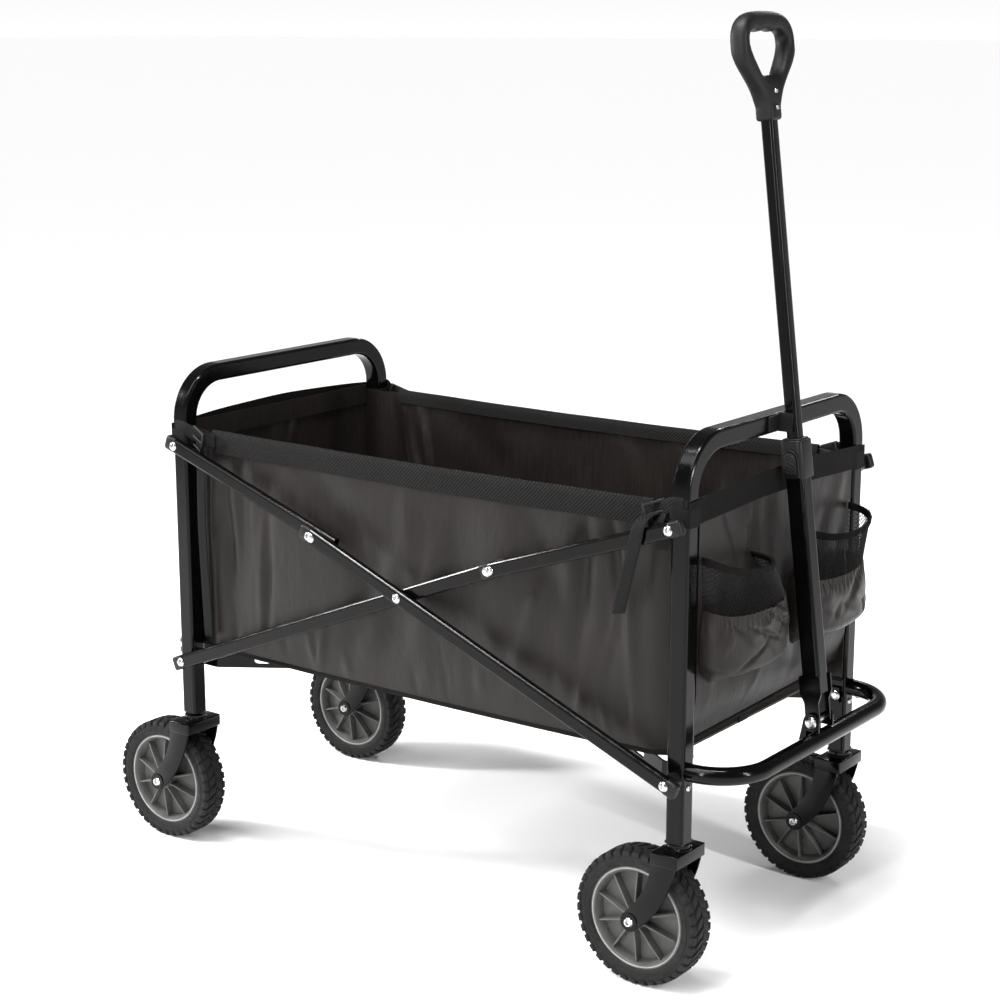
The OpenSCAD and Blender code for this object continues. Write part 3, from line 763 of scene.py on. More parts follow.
def make_rivet_faces():
    """Recessed domes over the side pivots' rivets and the axle bolts."""
    run = CROSSING - REAR_LOW
    tip = run * (LONG_TIP.x - REAR_LOW.x) / run.x
    long_tip = REAR_LOW + tip * (1 - 0.014 / tip.length)
    cross_tip = Vector((FRONT_X + REAR_X - long_tip.x, 0, long_tip.z))
    inner, outer = INNER_LANE[1], OUTER_LANE[1]
    groups = (
        ("rear_post_rivet_faces", "rear_frame", ((REAR_LOW, inner), (REAR_TOP, inner))),
        ("crossing_rivet_faces", "long_bars", ((CROSSING, outer),)),
        ("cross_bar_rivet_faces", "cross_bars", ((cross_tip, outer),)),
        ("front_link_rivet_faces", "front_links", ((long_tip, outer),)),
        ("front_post_rivet_faces", "front_frame", ((FRONT_LOW, outer), (FRONT_TOP, outer))),
    )
    for name, body, spots in groups:
        heads = [rivet_face(Vector((at.x, s * y, at.z)), s, RIVET_RADIUS, RIVET_HEIGHT)
                 for at, y in spots for _, s in SIDES]
        dress(join(name, heads), body, "bright_zinc", "plain_steel", (), 50)
    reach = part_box("rear_left_fork")[1].y - POST_Y
    half = [(0.0, 0.0024), (0.0020, 0.0024), (0.0026, 0.0044), (0.0050, 0.0038), (0.0068, 0.0), (0.0040, 0.0)]
    for end in ("rear", "front"):
        bolts = {}
        for _, side in SIDES:
            corner = f"{end}_{'left' if side > 0 else 'right'}"
            profile = [(r, reach + h) for r, h in half] + [(r, -reach - h) for r, h in reversed(half)]
            bolts[corner] = lathe(f"{corner}_axle", profile, pivot(corner + "_spin"), (0, 1, 0), 28)
        if end == "rear":
            both = join("rear_axle_bolt_pair", list(bolts.values()))
            dress(both, "rear_frame", "bright_zinc", "plain_steel", ("rear_axle_bolts",), 50)
        else:
            for corner, bolt in bolts.items():
                dress(bolt, f"{corner}_caster", "bright_zinc", "plain_steel", (f"{corner}_axle_bolt",), 50)


def bar_cap(at, toward, lane, side):
    """A plastic cap over a bar's end: it starts past the pivot and points away from toward."""
    length = 0.019
    direction = (Vector((at.x, 0, at.z)) - Vector((toward.x, 0, toward.z))).normalized()
    tip = Vector((at.x, 0, at.z)) + direction * 0.0175
    middle = tip - direction * length / 2
    turn = math.atan2(-direction.z, direction.x)
    y = side * (lane[0] + lane[1]) / 2
    return block("bar_cap", (middle.x, y, middle.z), (length, lane[1] - lane[0] + 0.0004, 0.0206),
                 (0, turn, 0), 0.0038, 3)


def make_bar_caps():
    """Black caps on the ends of the side bars."""
    run = CROSSING - REAR_LOW
    long_tip = REAR_LOW + run * ((LONG_TIP.x - 0.013 - REAR_LOW.x) / run.x)
    cross_tip = Vector((FRONT_X + REAR_X - long_tip.x, 0, long_tip.z))
    groups = (
        ("long_bar_end_caps", "long_bars", INNER_LANE, ((REAR_LOW, CROSSING), (long_tip, CROSSING)),
         ("long_bar_caps",)),
        ("cross_bar_end_caps", "cross_bars", OUTER_LANE, ((FRONT_LOW, CROSSING), (cross_tip, CROSSING)),
         ("cross_bar_caps",)),
        ("rear_link_end_caps", "rear_links", INNER_LANE, ((REAR_TOP, cross_tip),), ()),
        ("front_link_end_caps", "front_links", OUTER_LANE, ((FRONT_TOP, long_tip), (long_tip, FRONT_TOP)),
         ()),
    )
    for name, body, lane, ends, nodes in groups:
        caps = [bar_cap(at, toward, lane, s) for at, toward in ends for _, s in SIDES]
        dress(join(name, caps), body, "black_moulding", "black_plastic", nodes, 50)


def make_small_fittings():
    """Screws under the bumper's ends."""
    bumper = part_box("bumper")
    profile = [(0.0, 0.0012), (0.0013, 0.0012), (0.0017, 0.0024), (0.0036, 0.0019), (0.0046, 0.0), (0.0, 0.0)]
    x, z = FRONT_X + TUBE / 2, bumper[0].z - 0.0075
    screws = [lathe("screw", profile, Vector((x, s * POST_Y, z)), (1, 0, 0), 20) for s in (1, -1)]
    dress(join("bumper_foot_screws", screws), "front_frame", "bright_zinc", "plain_steel", (), 50)


def make_bumper():
    """The round bumper tube, bent twice between the front posts."""
    low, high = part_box("bumper")
    z, bend = (low.z + high.z) / 2, 0.068
    front = high.x - TUBE / 2
    path = [(FRONT_X + TUBE / 2 - 0.003, -POST_Y, z)]
    path += [(a, b, z) for a, b in arc((front - bend, -POST_Y + bend), bend, -90, 0, 14)]
    path += [(a, b, z) for a, b in arc((front - bend, POST_Y - bend), bend, 0, 90, 14)]
    path.append((FRONT_X + TUBE / 2 - 0.003, POST_Y, z))
    tube = cord_line("round_bumper", path, 0.0115)
    dress(tube, "front_frame", "gloss_black_tube", "frame_tube", ("bumper",), 50)


# ------------------------------------------------------------------ basket


def wall_edge(x):
    """How far from the middle a side wall stands at x: tucked in beside the posts."""
    clear = min(x - REAR_X, FRONT_X - x)
    return lerp(POST_INSIDE - 0.004, WALL_Y + 0.0012, smooth_step(clear, 0.010, 0.050))


def fold_height(x, z, folds):
    """Sum of soft ridges: each has a middle, a lean, a length, a width and a height."""
    height = 0.0
    for fx, fz, lean, length, width, rise in folds:
        dx, dz = x - fx, z - fz
        along = dz * math.cos(lean) + dx * math.sin(lean)
        across = dx * math.cos(lean) - dz * math.sin(lean)
        height += rise * math.exp(-(across / width) ** 2 - (along / length) ** 2)
    return height


def wall_folds(seed):
    """Creases that fan out from the hung corners, gathers along the bottom and faint upright folds."""
    draw = random.Random(seed)
    folds = []
    for end, away in ((REAR_X, 1), (FRONT_X, -1)):
        for _ in range(7):
            lean = math.radians(draw.uniform(-8, 26) - 4) * -away
            reach = draw.uniform(0.025, 0.15)
            folds.append((end + away * reach, draw.uniform(0.42, 0.57), lean, draw.uniform(0.05, 0.13),
                          draw.uniform(0.006, 0.014),
                          draw.choice((-1, 1, -1)) * draw.uniform(0.0040, 0.0085)))
    for _ in range(16):
        folds.append((draw.uniform(REAR_X + 0.06, FRONT_X - 0.06), draw.uniform(0.315, 0.35),
                      math.radians(draw.uniform(-14, 14)), draw.uniform(0.016, 0.05),
                      draw.uniform(0.004, 0.010), draw.choice((-1, 1)) * draw.uniform(0.0020, 0.0048)))
    for _ in range(14):
        folds.append((draw.uniform(REAR_X + 0.1, FRONT_X - 0.1), draw.uniform(0.40, 0.56),
                      math.radians(draw.uniform(-42, 30)), draw.uniform(0.06, 0.14),
                      draw.uniform(0.012, 0.035), draw.choice((-1, 1)) * draw.uniform(0.0030, 0.0070)))
    return folds


def make_walls(sizes):
    """Side walls of coated cloth, tucked behind the posts and bellied outwards."""
    for name, side in SIDES:
        folds = wall_folds(11 if side > 0 else 4)

        def shape(u, v, side=side, folds=folds):
            x = lerp(REAR_X - PANEL_OUT, FRONT_X + PANEL_OUT, u)
            sag = SAG * math.sin(math.pi * u)
            z = lerp(FLOOR_Z + 0.002 - sag, RIM_Z - 0.003 - sag, v)
            free = math.sin(math.pi * v) ** 0.5 * smooth_step(min(u, 1 - u), 0.02, 0.12)
            belly = sizes.belly * math.sin(math.pi * v) * smooth_step(min(u, 1 - u), 0.03, 0.3)
            out = min(belly + free * fold_height(x, z, folds), 0.0150)
            return Vector((x, side * (wall_edge(x) + out), z))

        wall = cloth_grid(f"{name}_wall_cloth", 200, 80, shape)
        thicken(wall, 0.0016)
        dress(wall, None, "basket_cloth", "basket_fabric", (f"basket_{name}_wall",), 60)
        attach(wall, "rear_frame")
        shorten_with_fold(wall)


def make_side_rims(sizes):
    """Coarse webbing folded over the side walls' top edges, and the piping along their bottoms."""
    drop = RIM_Z - sizes.webbing_height
    for name, side in SIDES:
        fold = [(0.0040, drop), (0.0042, drop + 0.012), (0.0040, RIM_Z - 0.004), (0.0026, RIM_Z + 0.0006),
                (0.0, RIM_Z + 0.0016), (-0.0026, RIM_Z + 0.0006), (-0.0038, RIM_Z - 0.004),
                (-0.0036, RIM_Z - 0.018)]

        def shape(u, v, side=side, fold=fold):
            x = lerp(REAR_X + 0.052, FRONT_X - 0.046, u)
            sag = SAG * math.sin(math.pi * (x - REAR_X) / (FRONT_X - REAR_X))
            at = v * (len(fold) - 1)
            i = min(int(at), len(fold) - 2)
            out = lerp(fold[i][0], fold[i + 1][0], at - i)
            z = lerp(fold[i][1], fold[i + 1][1], at - i) - sag
            wave = 0.0012 * math.sin(x * 31) * math.sin(x * 13 + 1)
            return Vector((x, side * (wall_edge(x) + out + wave), z))

        rim = cloth_grid(f"{name}_rim_webbing", 140, 21, shape)
        thicken(rim, 0.0016)
        dress(rim, "rear_frame", "rim_webbing", "webbing",
              ("side_rim_webbing",) if side > 0 else (), 50)
        shorten_with_fold(rim)

        count = 60
        path = []
        for i in range(count + 1):
            x = lerp(REAR_X - PANEL_OUT + 0.001, FRONT_X + PANEL_OUT - 0.001, i / count)
            sag = SAG * math.sin(math.pi * i / count)
            path.append((x, side * wall_edge(x), FLOOR_Z + 0.001 - sag))
        piping = cord_line(f"{name}_bottom_piping", path, 0.0034)
        dress(piping, "rear_frame", "binding_tape", "webbing", (), 60)
        shorten_with_fold(piping)


def panel_out(z, out):
    """How far an end panel stands outside its posts' middle at z: the front one curls in at the bottom."""
    curl = smooth_step(0.405 - z, 0.0, 0.105)
    return lerp(PANEL_OUT + 0.0015, -0.014 if out > 0 else PANEL_OUT - 0.004, curl * curl)


def hem_z(out, u):
    """Height of an end panel's bottom edge: the front one rises across."""
    return FLOOR_Z + (lerp(0.012, 0.023, u) if out > 0 else 0.003)


def make_end_panels():
    """Rear and front cloth panels with their binding along the bottom."""
    for name, x0, out in ENDS:
        draw = random.Random(23 if out > 0 else 31)
        half = POST_INSIDE - 0.0036
        folds = [(draw.uniform(-half, half), draw.uniform(0.34, 0.6), math.radians(draw.uniform(-30, 30)),
                  draw.uniform(0.03, 0.1), draw.uniform(0.007, 0.02),
                  draw.choice((-1, 1)) * draw.uniform(0.0016, 0.0042)) for _ in range(18)]

        def shape(u, v, x0=x0, out=out, folds=folds, half=half):
            y = lerp(-half, half, u)
            z = lerp(hem_z(out, u), RIM_Z + 0.002, v)
            free = smooth_step(min(u, 1 - u), 0.0, 0.1) * smooth_step(min(v, 1 - v), 0.0, 0.1)
            belly = 0.003 * math.sin(math.pi * v) * math.sin(math.pi * u)
            lift = free * (fold_height(y, z, folds) + belly)
            return Vector((x0 + out * (panel_out(z, out) + lift), y, z))

        panel = cloth_grid(f"{name}_panel_cloth", 100, 80, shape)
        thicken(panel, 0.0016)
        dress(panel, f"{name}_frame", "basket_cloth", "basket_fabric", (f"basket_{name}_panel",), 60)
        edge = [(x0 + out * panel_out(hem_z(out, i / 20), out), lerp(-half, half, i / 20), hem_z(out, i / 20))
                for i in range(21)]
        low = hem_z(out, 0.4)
        binding = cord_line(f"{name}_panel_binding", edge, 0.0036)
        dress(binding, f"{name}_frame", "binding_tape", "webbing", (), 60)
        tab = block(f"{name}_panel_tab", (x0 + out * (panel_out(low, out) + 0.001), -0.045, low - 0.006),
                    (0.003, 0.022, 0.014), (0, 0, 0), 0.0008, 1)
        dress(tab, f"{name}_frame", "strap_webbing", "webbing", (), 50)


def make_floor():
    """The floor's two padded halves, each from an end frame to the middle."""
    for name, x0, out in ENDS:
        def shape(u, v, x0=x0, out=out):
            x = lerp(x0 - (0.012 if out > 0 else 0.007), MIDDLE_X, u)
            y = lerp(-1, 1, v) * (wall_edge(x) - 0.0030)
            channel = abs(math.sin(v * math.pi * 6)) ** 0.6 * math.sin(math.pi * min(1, u * 1.04)) ** 0.4
            return Vector((x, y, FLOOR_Z + 0.0012 + 0.0026 * channel))

        half = cloth_grid(f"{name}_floor_pad", 60, 72, shape)
        thicken(half, 0.003, -1.0)
        dress(half, None, "basket_cloth", "basket_fabric", ("basket_floor",), 60)
        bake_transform(half)


def make_end_bands(sizes):
    """Flat bands across the ends, over the posts, with a webbing loop round each post."""
    for name, x0, out in ENDS:
        near = TUBE / 2 + 0.0012
        top = RIM_Z + 0.006
        low = top - sizes.webbing_height
        span = POST_FACE + 0.0004

        def shape(u, v, x0=x0, out=out, near=near, top=top, low=low, span=span):
            y = lerp(-span, span, u)
            sag = 0.003 * math.sin(math.pi * u) * (1 - v)
            between = 1 - smooth_step(abs(y), POST_INSIDE - 0.02, POST_INSIDE)
            wave = 0.0010 * math.sin(y * 43 + 1) * between
            lift = 0.010 * math.sin(math.pi * u)
            return Vector((x0 + out * (near + wave), y, lerp(low, top, v) + lift - sag))

        band = cloth_grid(f"{name}_end_band", 90, 8, shape)
        thicken(band, 0.0014)
        dress(band, f"{name}_frame", "binding_tape", "webbing",
              (f"{name}_rim_band",), 50)
        inner = PANEL_OUT - 0.001
        hem_x = x0 + out * (inner - 0.0014)
        hem_y = POST_INSIDE - 0.006
        hem = cloth_grid(f"{name}_inner_hem", 60, 4, lambda u, v, x=hem_x, y=hem_y, top=top: Vector(
            (x, lerp(-y, y, u), lerp(top - 0.030, top, v))))
        thicken(hem, 0.0012)
        dress(hem, f"{name}_frame", "basket_cloth", "basket_fabric", (), 50)
        loops = []
        for _, side in SIDES:
            reach = TUBE / 2 + 0.0010
            corner = 0.0045
            outline = rounded_square(reach, corner, 5, (x0, side * POST_Y))
            height = 0.024
            path = [Vector((p[0], p[1], RIM_Z - 0.025)) for p in outline]
            path.append(path[0])
            loop = draw_line("post_loop", path)
            activate(loop, "EDIT")
            extrude((0, 0, height))
            outward(loop)
            loops.append(thicken(loop, 0.0014, 1.0))
        dress(join(f"{name}_post_loops", loops), f"{name}_frame", "strap_webbing", "webbing", (), 50)


def buckle(centre, side, turn):
    """A ladder-lock buckle: two rails and three bars."""
    rails = [block("rail", (dx, 0, 0), (0.0042, 0.0045, 0.030), (0, 0, 0), 0.0010, 2)
             for dx in (-0.013, 0.013)]
    bars = [block("bar", (0, dy, dz), (0.028, 0.0036, 0.0042), (0, 0, 0), 0.0010, 2)
            for dy, dz in ((0, -0.013), (0.0012 * side, 0), (0, 0.013))]
    piece = join("buckle", rails + bars)
    piece.rotation_euler = turn
    piece.location = centre
    return settle(piece)


def make_straps(sizes):
    """Corner straps: a buckle beside each post, a short strap to the rim and a hanging tail."""
    wide = sizes.strap_width
    for end, x0, out in ENDS:
        straps, locks = [], []
        for _, side in SIDES:
            skin = WALL_Y + 0.009
            bx = x0 - out * 0.034
            tilt = math.radians(-20 * out)
            centre = (bx, side * (skin + 0.006), RIM_Z - 0.012)
            locks.append(buckle(centre, side, (0, tilt, side * out * math.radians(-16))))
            straps.append(ribbon("to_rim", smooth_path([
                (x0 - out * 0.060, side * (WALL_Y + 0.0075), RIM_Z - 0.014),
                (x0 - out * 0.046, side * (skin + 0.003), RIM_Z - 0.012),
                (x0 - out * 0.022, side * (skin + 0.006), RIM_Z - 0.004),
                (x0 - out * 0.012, side * (POST_FACE + 0.0002), RIM_Z + 0.001),
                (x0 + out * 0.006, side * (POST_FACE + 0.0002), RIM_Z + 0.002)], 4),
                (0, 0, wide), 0.0014))
            if out > 0:
                straps.append(ribbon("tail", smooth_path([
                    (x0 - 0.036, side * (skin + 0.004), RIM_Z - 0.014),
                    (x0 - 0.038, side * (skin + 0.022), RIM_Z - 0.014),
                    (x0 - 0.040, side * (OUTER_LANE[1] + 0.002), RIM_Z - 0.024),
                    (x0 - 0.046, side * (OUTER_LANE[1] + 0.0035), RIM_Z - 0.055),
                    (x0 - 0.058, side * (OUTER_LANE[1] + 0.0015), RIM_Z - 0.096),
                    (x0 - 0.070, side * (OUTER_LANE[1] - 0.003), RIM_Z - 0.137)], 5),
                    (wide * 0.96, 0, wide * 0.2), 0.0014))
                straps.append(ribbon("spare", smooth_path([
                    (x0 - 0.026, side * (skin + 0.004), RIM_Z - 0.010),
                    (x0 - 0.025, side * (skin + 0.014), RIM_Z - 0.020),
                    (x0 - 0.024, side * (POST_FACE + 0.004), RIM_Z - 0.034),
                    (x0 - 0.023, side * (POST_FACE - 0.002), RIM_Z - 0.056)], 4),
                    (wide * 0.7, 0, 0.002), 0.0014))
            else:
                straps.append(ribbon("tail", smooth_path([
                    (x0 + 0.036, side * (skin + 0.004), RIM_Z - 0.014),
                    (x0 + 0.037, side * (skin + 0.0045), RIM_Z - 0.040),
                    (x0 + 0.036, side * (skin + 0.0052), RIM_Z - 0.130),
                    (x0 + 0.038, side * (skin + 0.0040), RIM_Z - 0.220),
                    (x0 + 0.041, side * (skin + 0.0030), RIM_Z - 0.300)], 6),
                    (wide * 0.8, 0, 0), 0.0014))
        dress(join(f"{end}_corner_straps", straps), f"{end}_frame", "strap_webbing", "webbing", (), 50)
        dress(join(f"{end}_strap_buckles", locks), f"{end}_frame", "black_moulding", "black_plastic", (), 50)


# ------------------------------------------------------------------ pockets


def pocket_curve(u, depth, half, power=0.5):
    """Plan of a pocket from one side edge round to the other: how far out, how far across."""
    return depth * math.sin(math.pi * u) ** power, -half * math.cos(math.pi * u)


def make_pockets(sizes):
    """Gathered cloth pockets with open net tops and elastic edges."""
    panel = FRONT_X + PANEL_OUT + 0.0032
    low, seam, top = 0.393, 0.489, 0.553
    for name, side in SIDES:
        middle = side * 0.5 * (abs(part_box("left_pocket")[0].y) + abs(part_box("left_pocket")[1].y))
        draw = random.Random(5 if side > 0 else 17)
        folds = [(draw.uniform(0.12, 0.88), draw.uniform(0.35, 0.95), draw.uniform(-0.7, 0.7),
                  draw.uniform(0.1, 0.28), draw.uniform(0.02, 0.05),
                  draw.choice((-1, 1)) * draw.uniform(0.0022, 0.0050))
                 for _ in range(14)]

        def sag(u):
            return 0.009 * math.sin(math.pi * u) ** 0.8

        def cloth(u, v, middle=middle, folds=folds):
            bowl = math.sin(min(1.0, v / 0.34) * math.pi / 2)
            depth = lerp(0.002, 0.047, bowl) - 0.004 * smooth_step(v, 0.7, 1)
            half = lerp(0.062, 0.086, bowl) - 0.006 * smooth_step(v, 0.6, 1)
            gather = 0.0014 * math.sin(u * 150) * smooth_step(v, 0.72, 0.98)
            crease = fold_height(u, v, folds) * math.sin(math.pi * u) ** 0.5 * smooth_step(v, 0.05, 0.3)
            out, across = pocket_curve(u, depth + gather + crease, half)
            z = lerp(low, seam, v) - sag(u) + 0.012 * (1 - bowl) * math.sin(math.pi * u)
            return Vector((panel + out, middle + across, z))

        def net(u, v, middle=middle, side=side):
            depth = lerp(0.042, 0.049, v)
            half = lerp(0.080, 0.058, v)
            out, across = pocket_curve(u, depth, half)
            fall = 0.015 * v * (u if side < 0 else 1 - u)
            return Vector((panel + out, middle + side * 0.024 * v + across,
                           lerp(seam - 0.001, top, v) - sag(u) - fall))

        bag = cloth_grid(f"{name}_pocket_cloth", 130, 46, cloth)
        thicken(bag, 0.0012)
        dress(bag, "front_frame", "pocket_cloth", "pocket_fabric", (f"{name}_pocket",), 60)

        rows = round(sizes.net_cells * 0.3)
        mesh = cloth_grid(f"{name}_pocket_net", sizes.net_cells, rows, net)
        activate(mesh, "EDIT")
        bpy.ops.mesh.poke()
        bpy.ops.mesh.select_all(action="DESELECT")
        bpy.ops.object.mode_set(mode="OBJECT")
        grid_points = (sizes.net_cells + 1) * (rows + 1)
        for edge in mesh.data.edges:
            edge.select = all(corner < grid_points for corner in edge.vertices)
        bpy.ops.object.mode_set(mode="EDIT")
        bpy.ops.mesh.select_mode(type="EDGE")
        bpy.ops.mesh.dissolve_edges(use_verts=False)
        bpy.ops.mesh.select_mode(type="VERT")
        to_object_mode()
        modify(mesh, "WIREFRAME", thickness=sizes.net_thread, use_even_offset=False)
        dress(mesh, "front_frame", "pocket_net", "pocket_fabric", (), 50)

        elastic = cloth_grid(f"{name}_pocket_elastic", 110, 4, lambda u, v, net=net: net(u, 0.89 + 0.14 * v)
                             + Vector((0.0009 * math.sin(u * 210), 0, 0)))
        thicken(elastic, 0.0026)
        soften(elastic, 0.0008, 1)
        dress(elastic, "front_frame", "binding_tape", "webbing", (), 50)


# ------------------------------------------------------------------ handle


def up_handle(corner):
    """How far up the handle a point is, measured from its pivot."""
    return (Matrix.Rotation(-HANDLE_LEAN, 4, "Y") @ (corner - HANDLE_FOOT)).z


def along_handle(piece):
    """Takes a piece from the handle's own frame, pivot at the origin and tube along Z, to its place."""
    piece.rotation_euler = (0, HANDLE_LEAN, 0)
    piece.location = HANDLE_FOOT
    return settle(piece)


def grip_outline(count, low, high, half, neck):
    """Closed outline of the grip seen from the front: a wide bow that narrows to a neck."""
    points = []
    middle = lerp(low, high, 0.64)
    for i in range(count):
        a = FULL_TURN * i / count
        s, c = math.sin(a), math.cos(a)
        if s >= 0:
            y = half * math.copysign(abs(c) ** 0.62, c)
            z = middle + (high - middle) * s ** 0.66
        else:
            depth = -s
            width = lerp(half, neck, smooth_step(depth, 0.05, 0.93))
            y = width * math.copysign(min(1.0, abs(c) ** 0.25), c)
            z = middle - (middle - low) * depth ** 1.15
        points.append(Vector((0, y, z)))
    return points


def grip_opening(count, low, high, half):
    """Outline of the finger hole: finger grooves on top and a rounded point below."""
    points = []
    middle = lerp(low, high, 0.74)
    for i in range(count):
        a = FULL_TURN * i / count
        s, c = math.sin(a), math.cos(a)
        if s >= 0:
            y = half * math.copysign(abs(c) ** 0.6, c)
            groove = 0.0016 * math.cos(y / half * math.pi * 3.0) * (1 - abs(y / half) ** 3)
            z = middle + (high - middle) * s ** 0.55 + groove
        else:
            y = half * math.copysign(abs(c) ** 0.55, c) * (1 - 0.20 * -s)
            z = middle - (middle - low) * (-s) ** 1.1
        points.append(Vector((0, y, z)))
    return points


def make_grip(sizes):
    """D-shaped grip with a rounded bow, finger grooves and four screws."""
    top = up_handle(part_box("handle_grip")[1]) + 0.0025
    low = top - 0.131
    count = 72
    thick = sizes.grip_thickness
    outer = grip_outline(count, low, top, sizes.grip_width / 2, 0.0135)
    inner = grip_opening(count, low + 0.054, top - 0.0235, sizes.grip_width / 2 - 0.0170)

    def ring(u, v):
        at = (u * count) % count
        i, share = int(at), at - int(at)
        edge = outer[i].lerp(outer[(i + 1) % count], share)
        hole = inner[i].lerp(inner[(i + 1) % count], share)
        a = FULL_TURN * v
        across, deep = (math.copysign(abs(f(a)) ** 0.78, f(a)) for f in (math.cos, math.sin))
        point = (edge + hole) / 2 + (edge - hole) / 2 * across
        point.x = thick / 2 * deep
        return point

    body = outward(cloth_grid("grip", 2 * count, 28, ring))
    sleeve = block("sleeve", (0, 0, low + 0.010), (0.0245, 0.0255, 0.022), (0, 0, 0), 0.0040, 3)
    grip = along_handle(join("rounded_grip", [body, sleeve]))
    dress(grip, "handle_upper", "soft_grip", "grip_rubber", ("handle_grip",), 60)
    screws = []
    for y, z, r in ((-0.051, top - 0.034, 0.0030), (0.051, top - 0.034, 0.0030),
                    (0.002, low + 0.034, 0.0034), (0.002, low + 0.014, 0.0034)):
        x = thick / 2 - (0.0034 if abs(y) > 0.01 else (0.0 if z > low + 0.02 else 0.0002))
        profile = [(0.0, 0.0004), (r * 0.35, 0.0004), (r * 0.45, 0.0014), (r * 0.8, 0.0010), (r, -0.001),
                   (0.0, -0.001)]
        screws.append(lathe("screw", profile, Vector((x, y, z)), (1, 0, 0), 20))
    screws = along_handle(join("grip_screws", screws))
    dress(screws, "handle_upper", "bright_zinc", "plain_steel", (), 50)


def make_upper_tube():
    """The sliding tube, square with well rounded corners."""
    low, high = (up_handle(end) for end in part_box("handle_upper_tube"))
    half, corner = 0.0088, 0.0048
    outline = rounded_square(half, corner, 8)
    tube = slab("sliding_tube", [Vector((p[0], p[1], low + 0.004)) for p in outline],
                (0, 0, high - low - 0.008))
    dress(along_handle(tube), "handle_upper", "gloss_black_tube", "frame_tube", ("handle_upper_tube",), 40)


def arch(half, low, high, count=9):
    """An upright arch seen along Y: a square foot with rounded corners and a round top."""
    foot = arc((half - 0.002, low + 0.002), 0.002, -90, 0, 4) + arc((0, high - half), half, 0, 180, count)
    return foot + arc((-half + 0.002, low + 0.002), 0.002, 180, 270, 4)


def make_lock():
    """The lock housing with its arched frame, and the ridged button inside it."""
    base = round(up_handle(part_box("lock_housing")[0]) + 0.002, 3)
    height, half, corner = 0.048, 0.0158, 0.0065
    outline = rounded_square(half, corner, 6)
    shell = slab("shell", [Vector((p[0], p[1], base)) for p in outline], (0, 0, height))
    soften(shell, 0.0016, 3, 60)
    collar = slab("collar", [Vector((p[0] * 0.86, p[1] * 0.86, base + height - 0.001)) for p in outline],
                  (0, 0, 0.0032))
    soften(collar, 0.0010, 2, 60)
    face = -0.0158
    outer = [Vector((p[0], face + 0.002, p[1])) for p in arch(0.0118, base + 0.0018, base + 0.0370)]
    inner = [Vector((p[0], face + 0.002, p[1])) for p in arch(0.0096, base + 0.0042, base + 0.0346)]
    surround = ring_slab("surround", outer, inner, (0, -0.0056, 0))
    soften(surround, 0.0006, 2)
    housing = along_handle(join("lock_collar", [shell, collar, surround]))
    dress(housing, "handle_lower", "black_moulding", "black_plastic", ("lock_housing", "lock_spring"), 50)

    outline = arch(0.0091, base + 0.0047, base + 0.0340)
    pad = slab("pad", [Vector((p[0], -0.0191, p[1])) for p in outline], (0, -0.0014, 0))
    soften(pad, 0.0005, 2)
    ridges = []
    for i in range(7):
        reach = 0.0050 + i * 0.0042
        points = [p for p in arc((-0.0060, base + 0.0050), reach, -10, 100, 12)
                  if abs(p[0]) < 0.0080 and base + 0.006 < p[1] < base + 0.0320]
        if len(points) > 2:
            ridges.append(cord_line("ridge", [Vector((p[0], -0.0206, p[1])) for p in points], 0.00055))
    button = along_handle(join("ridged_button", [pad] + ridges))
    dress(button, "lock_button", "black_moulding", "black_plastic", ("lock_button",), 50)


# ------------------------------------------------------------------ stage


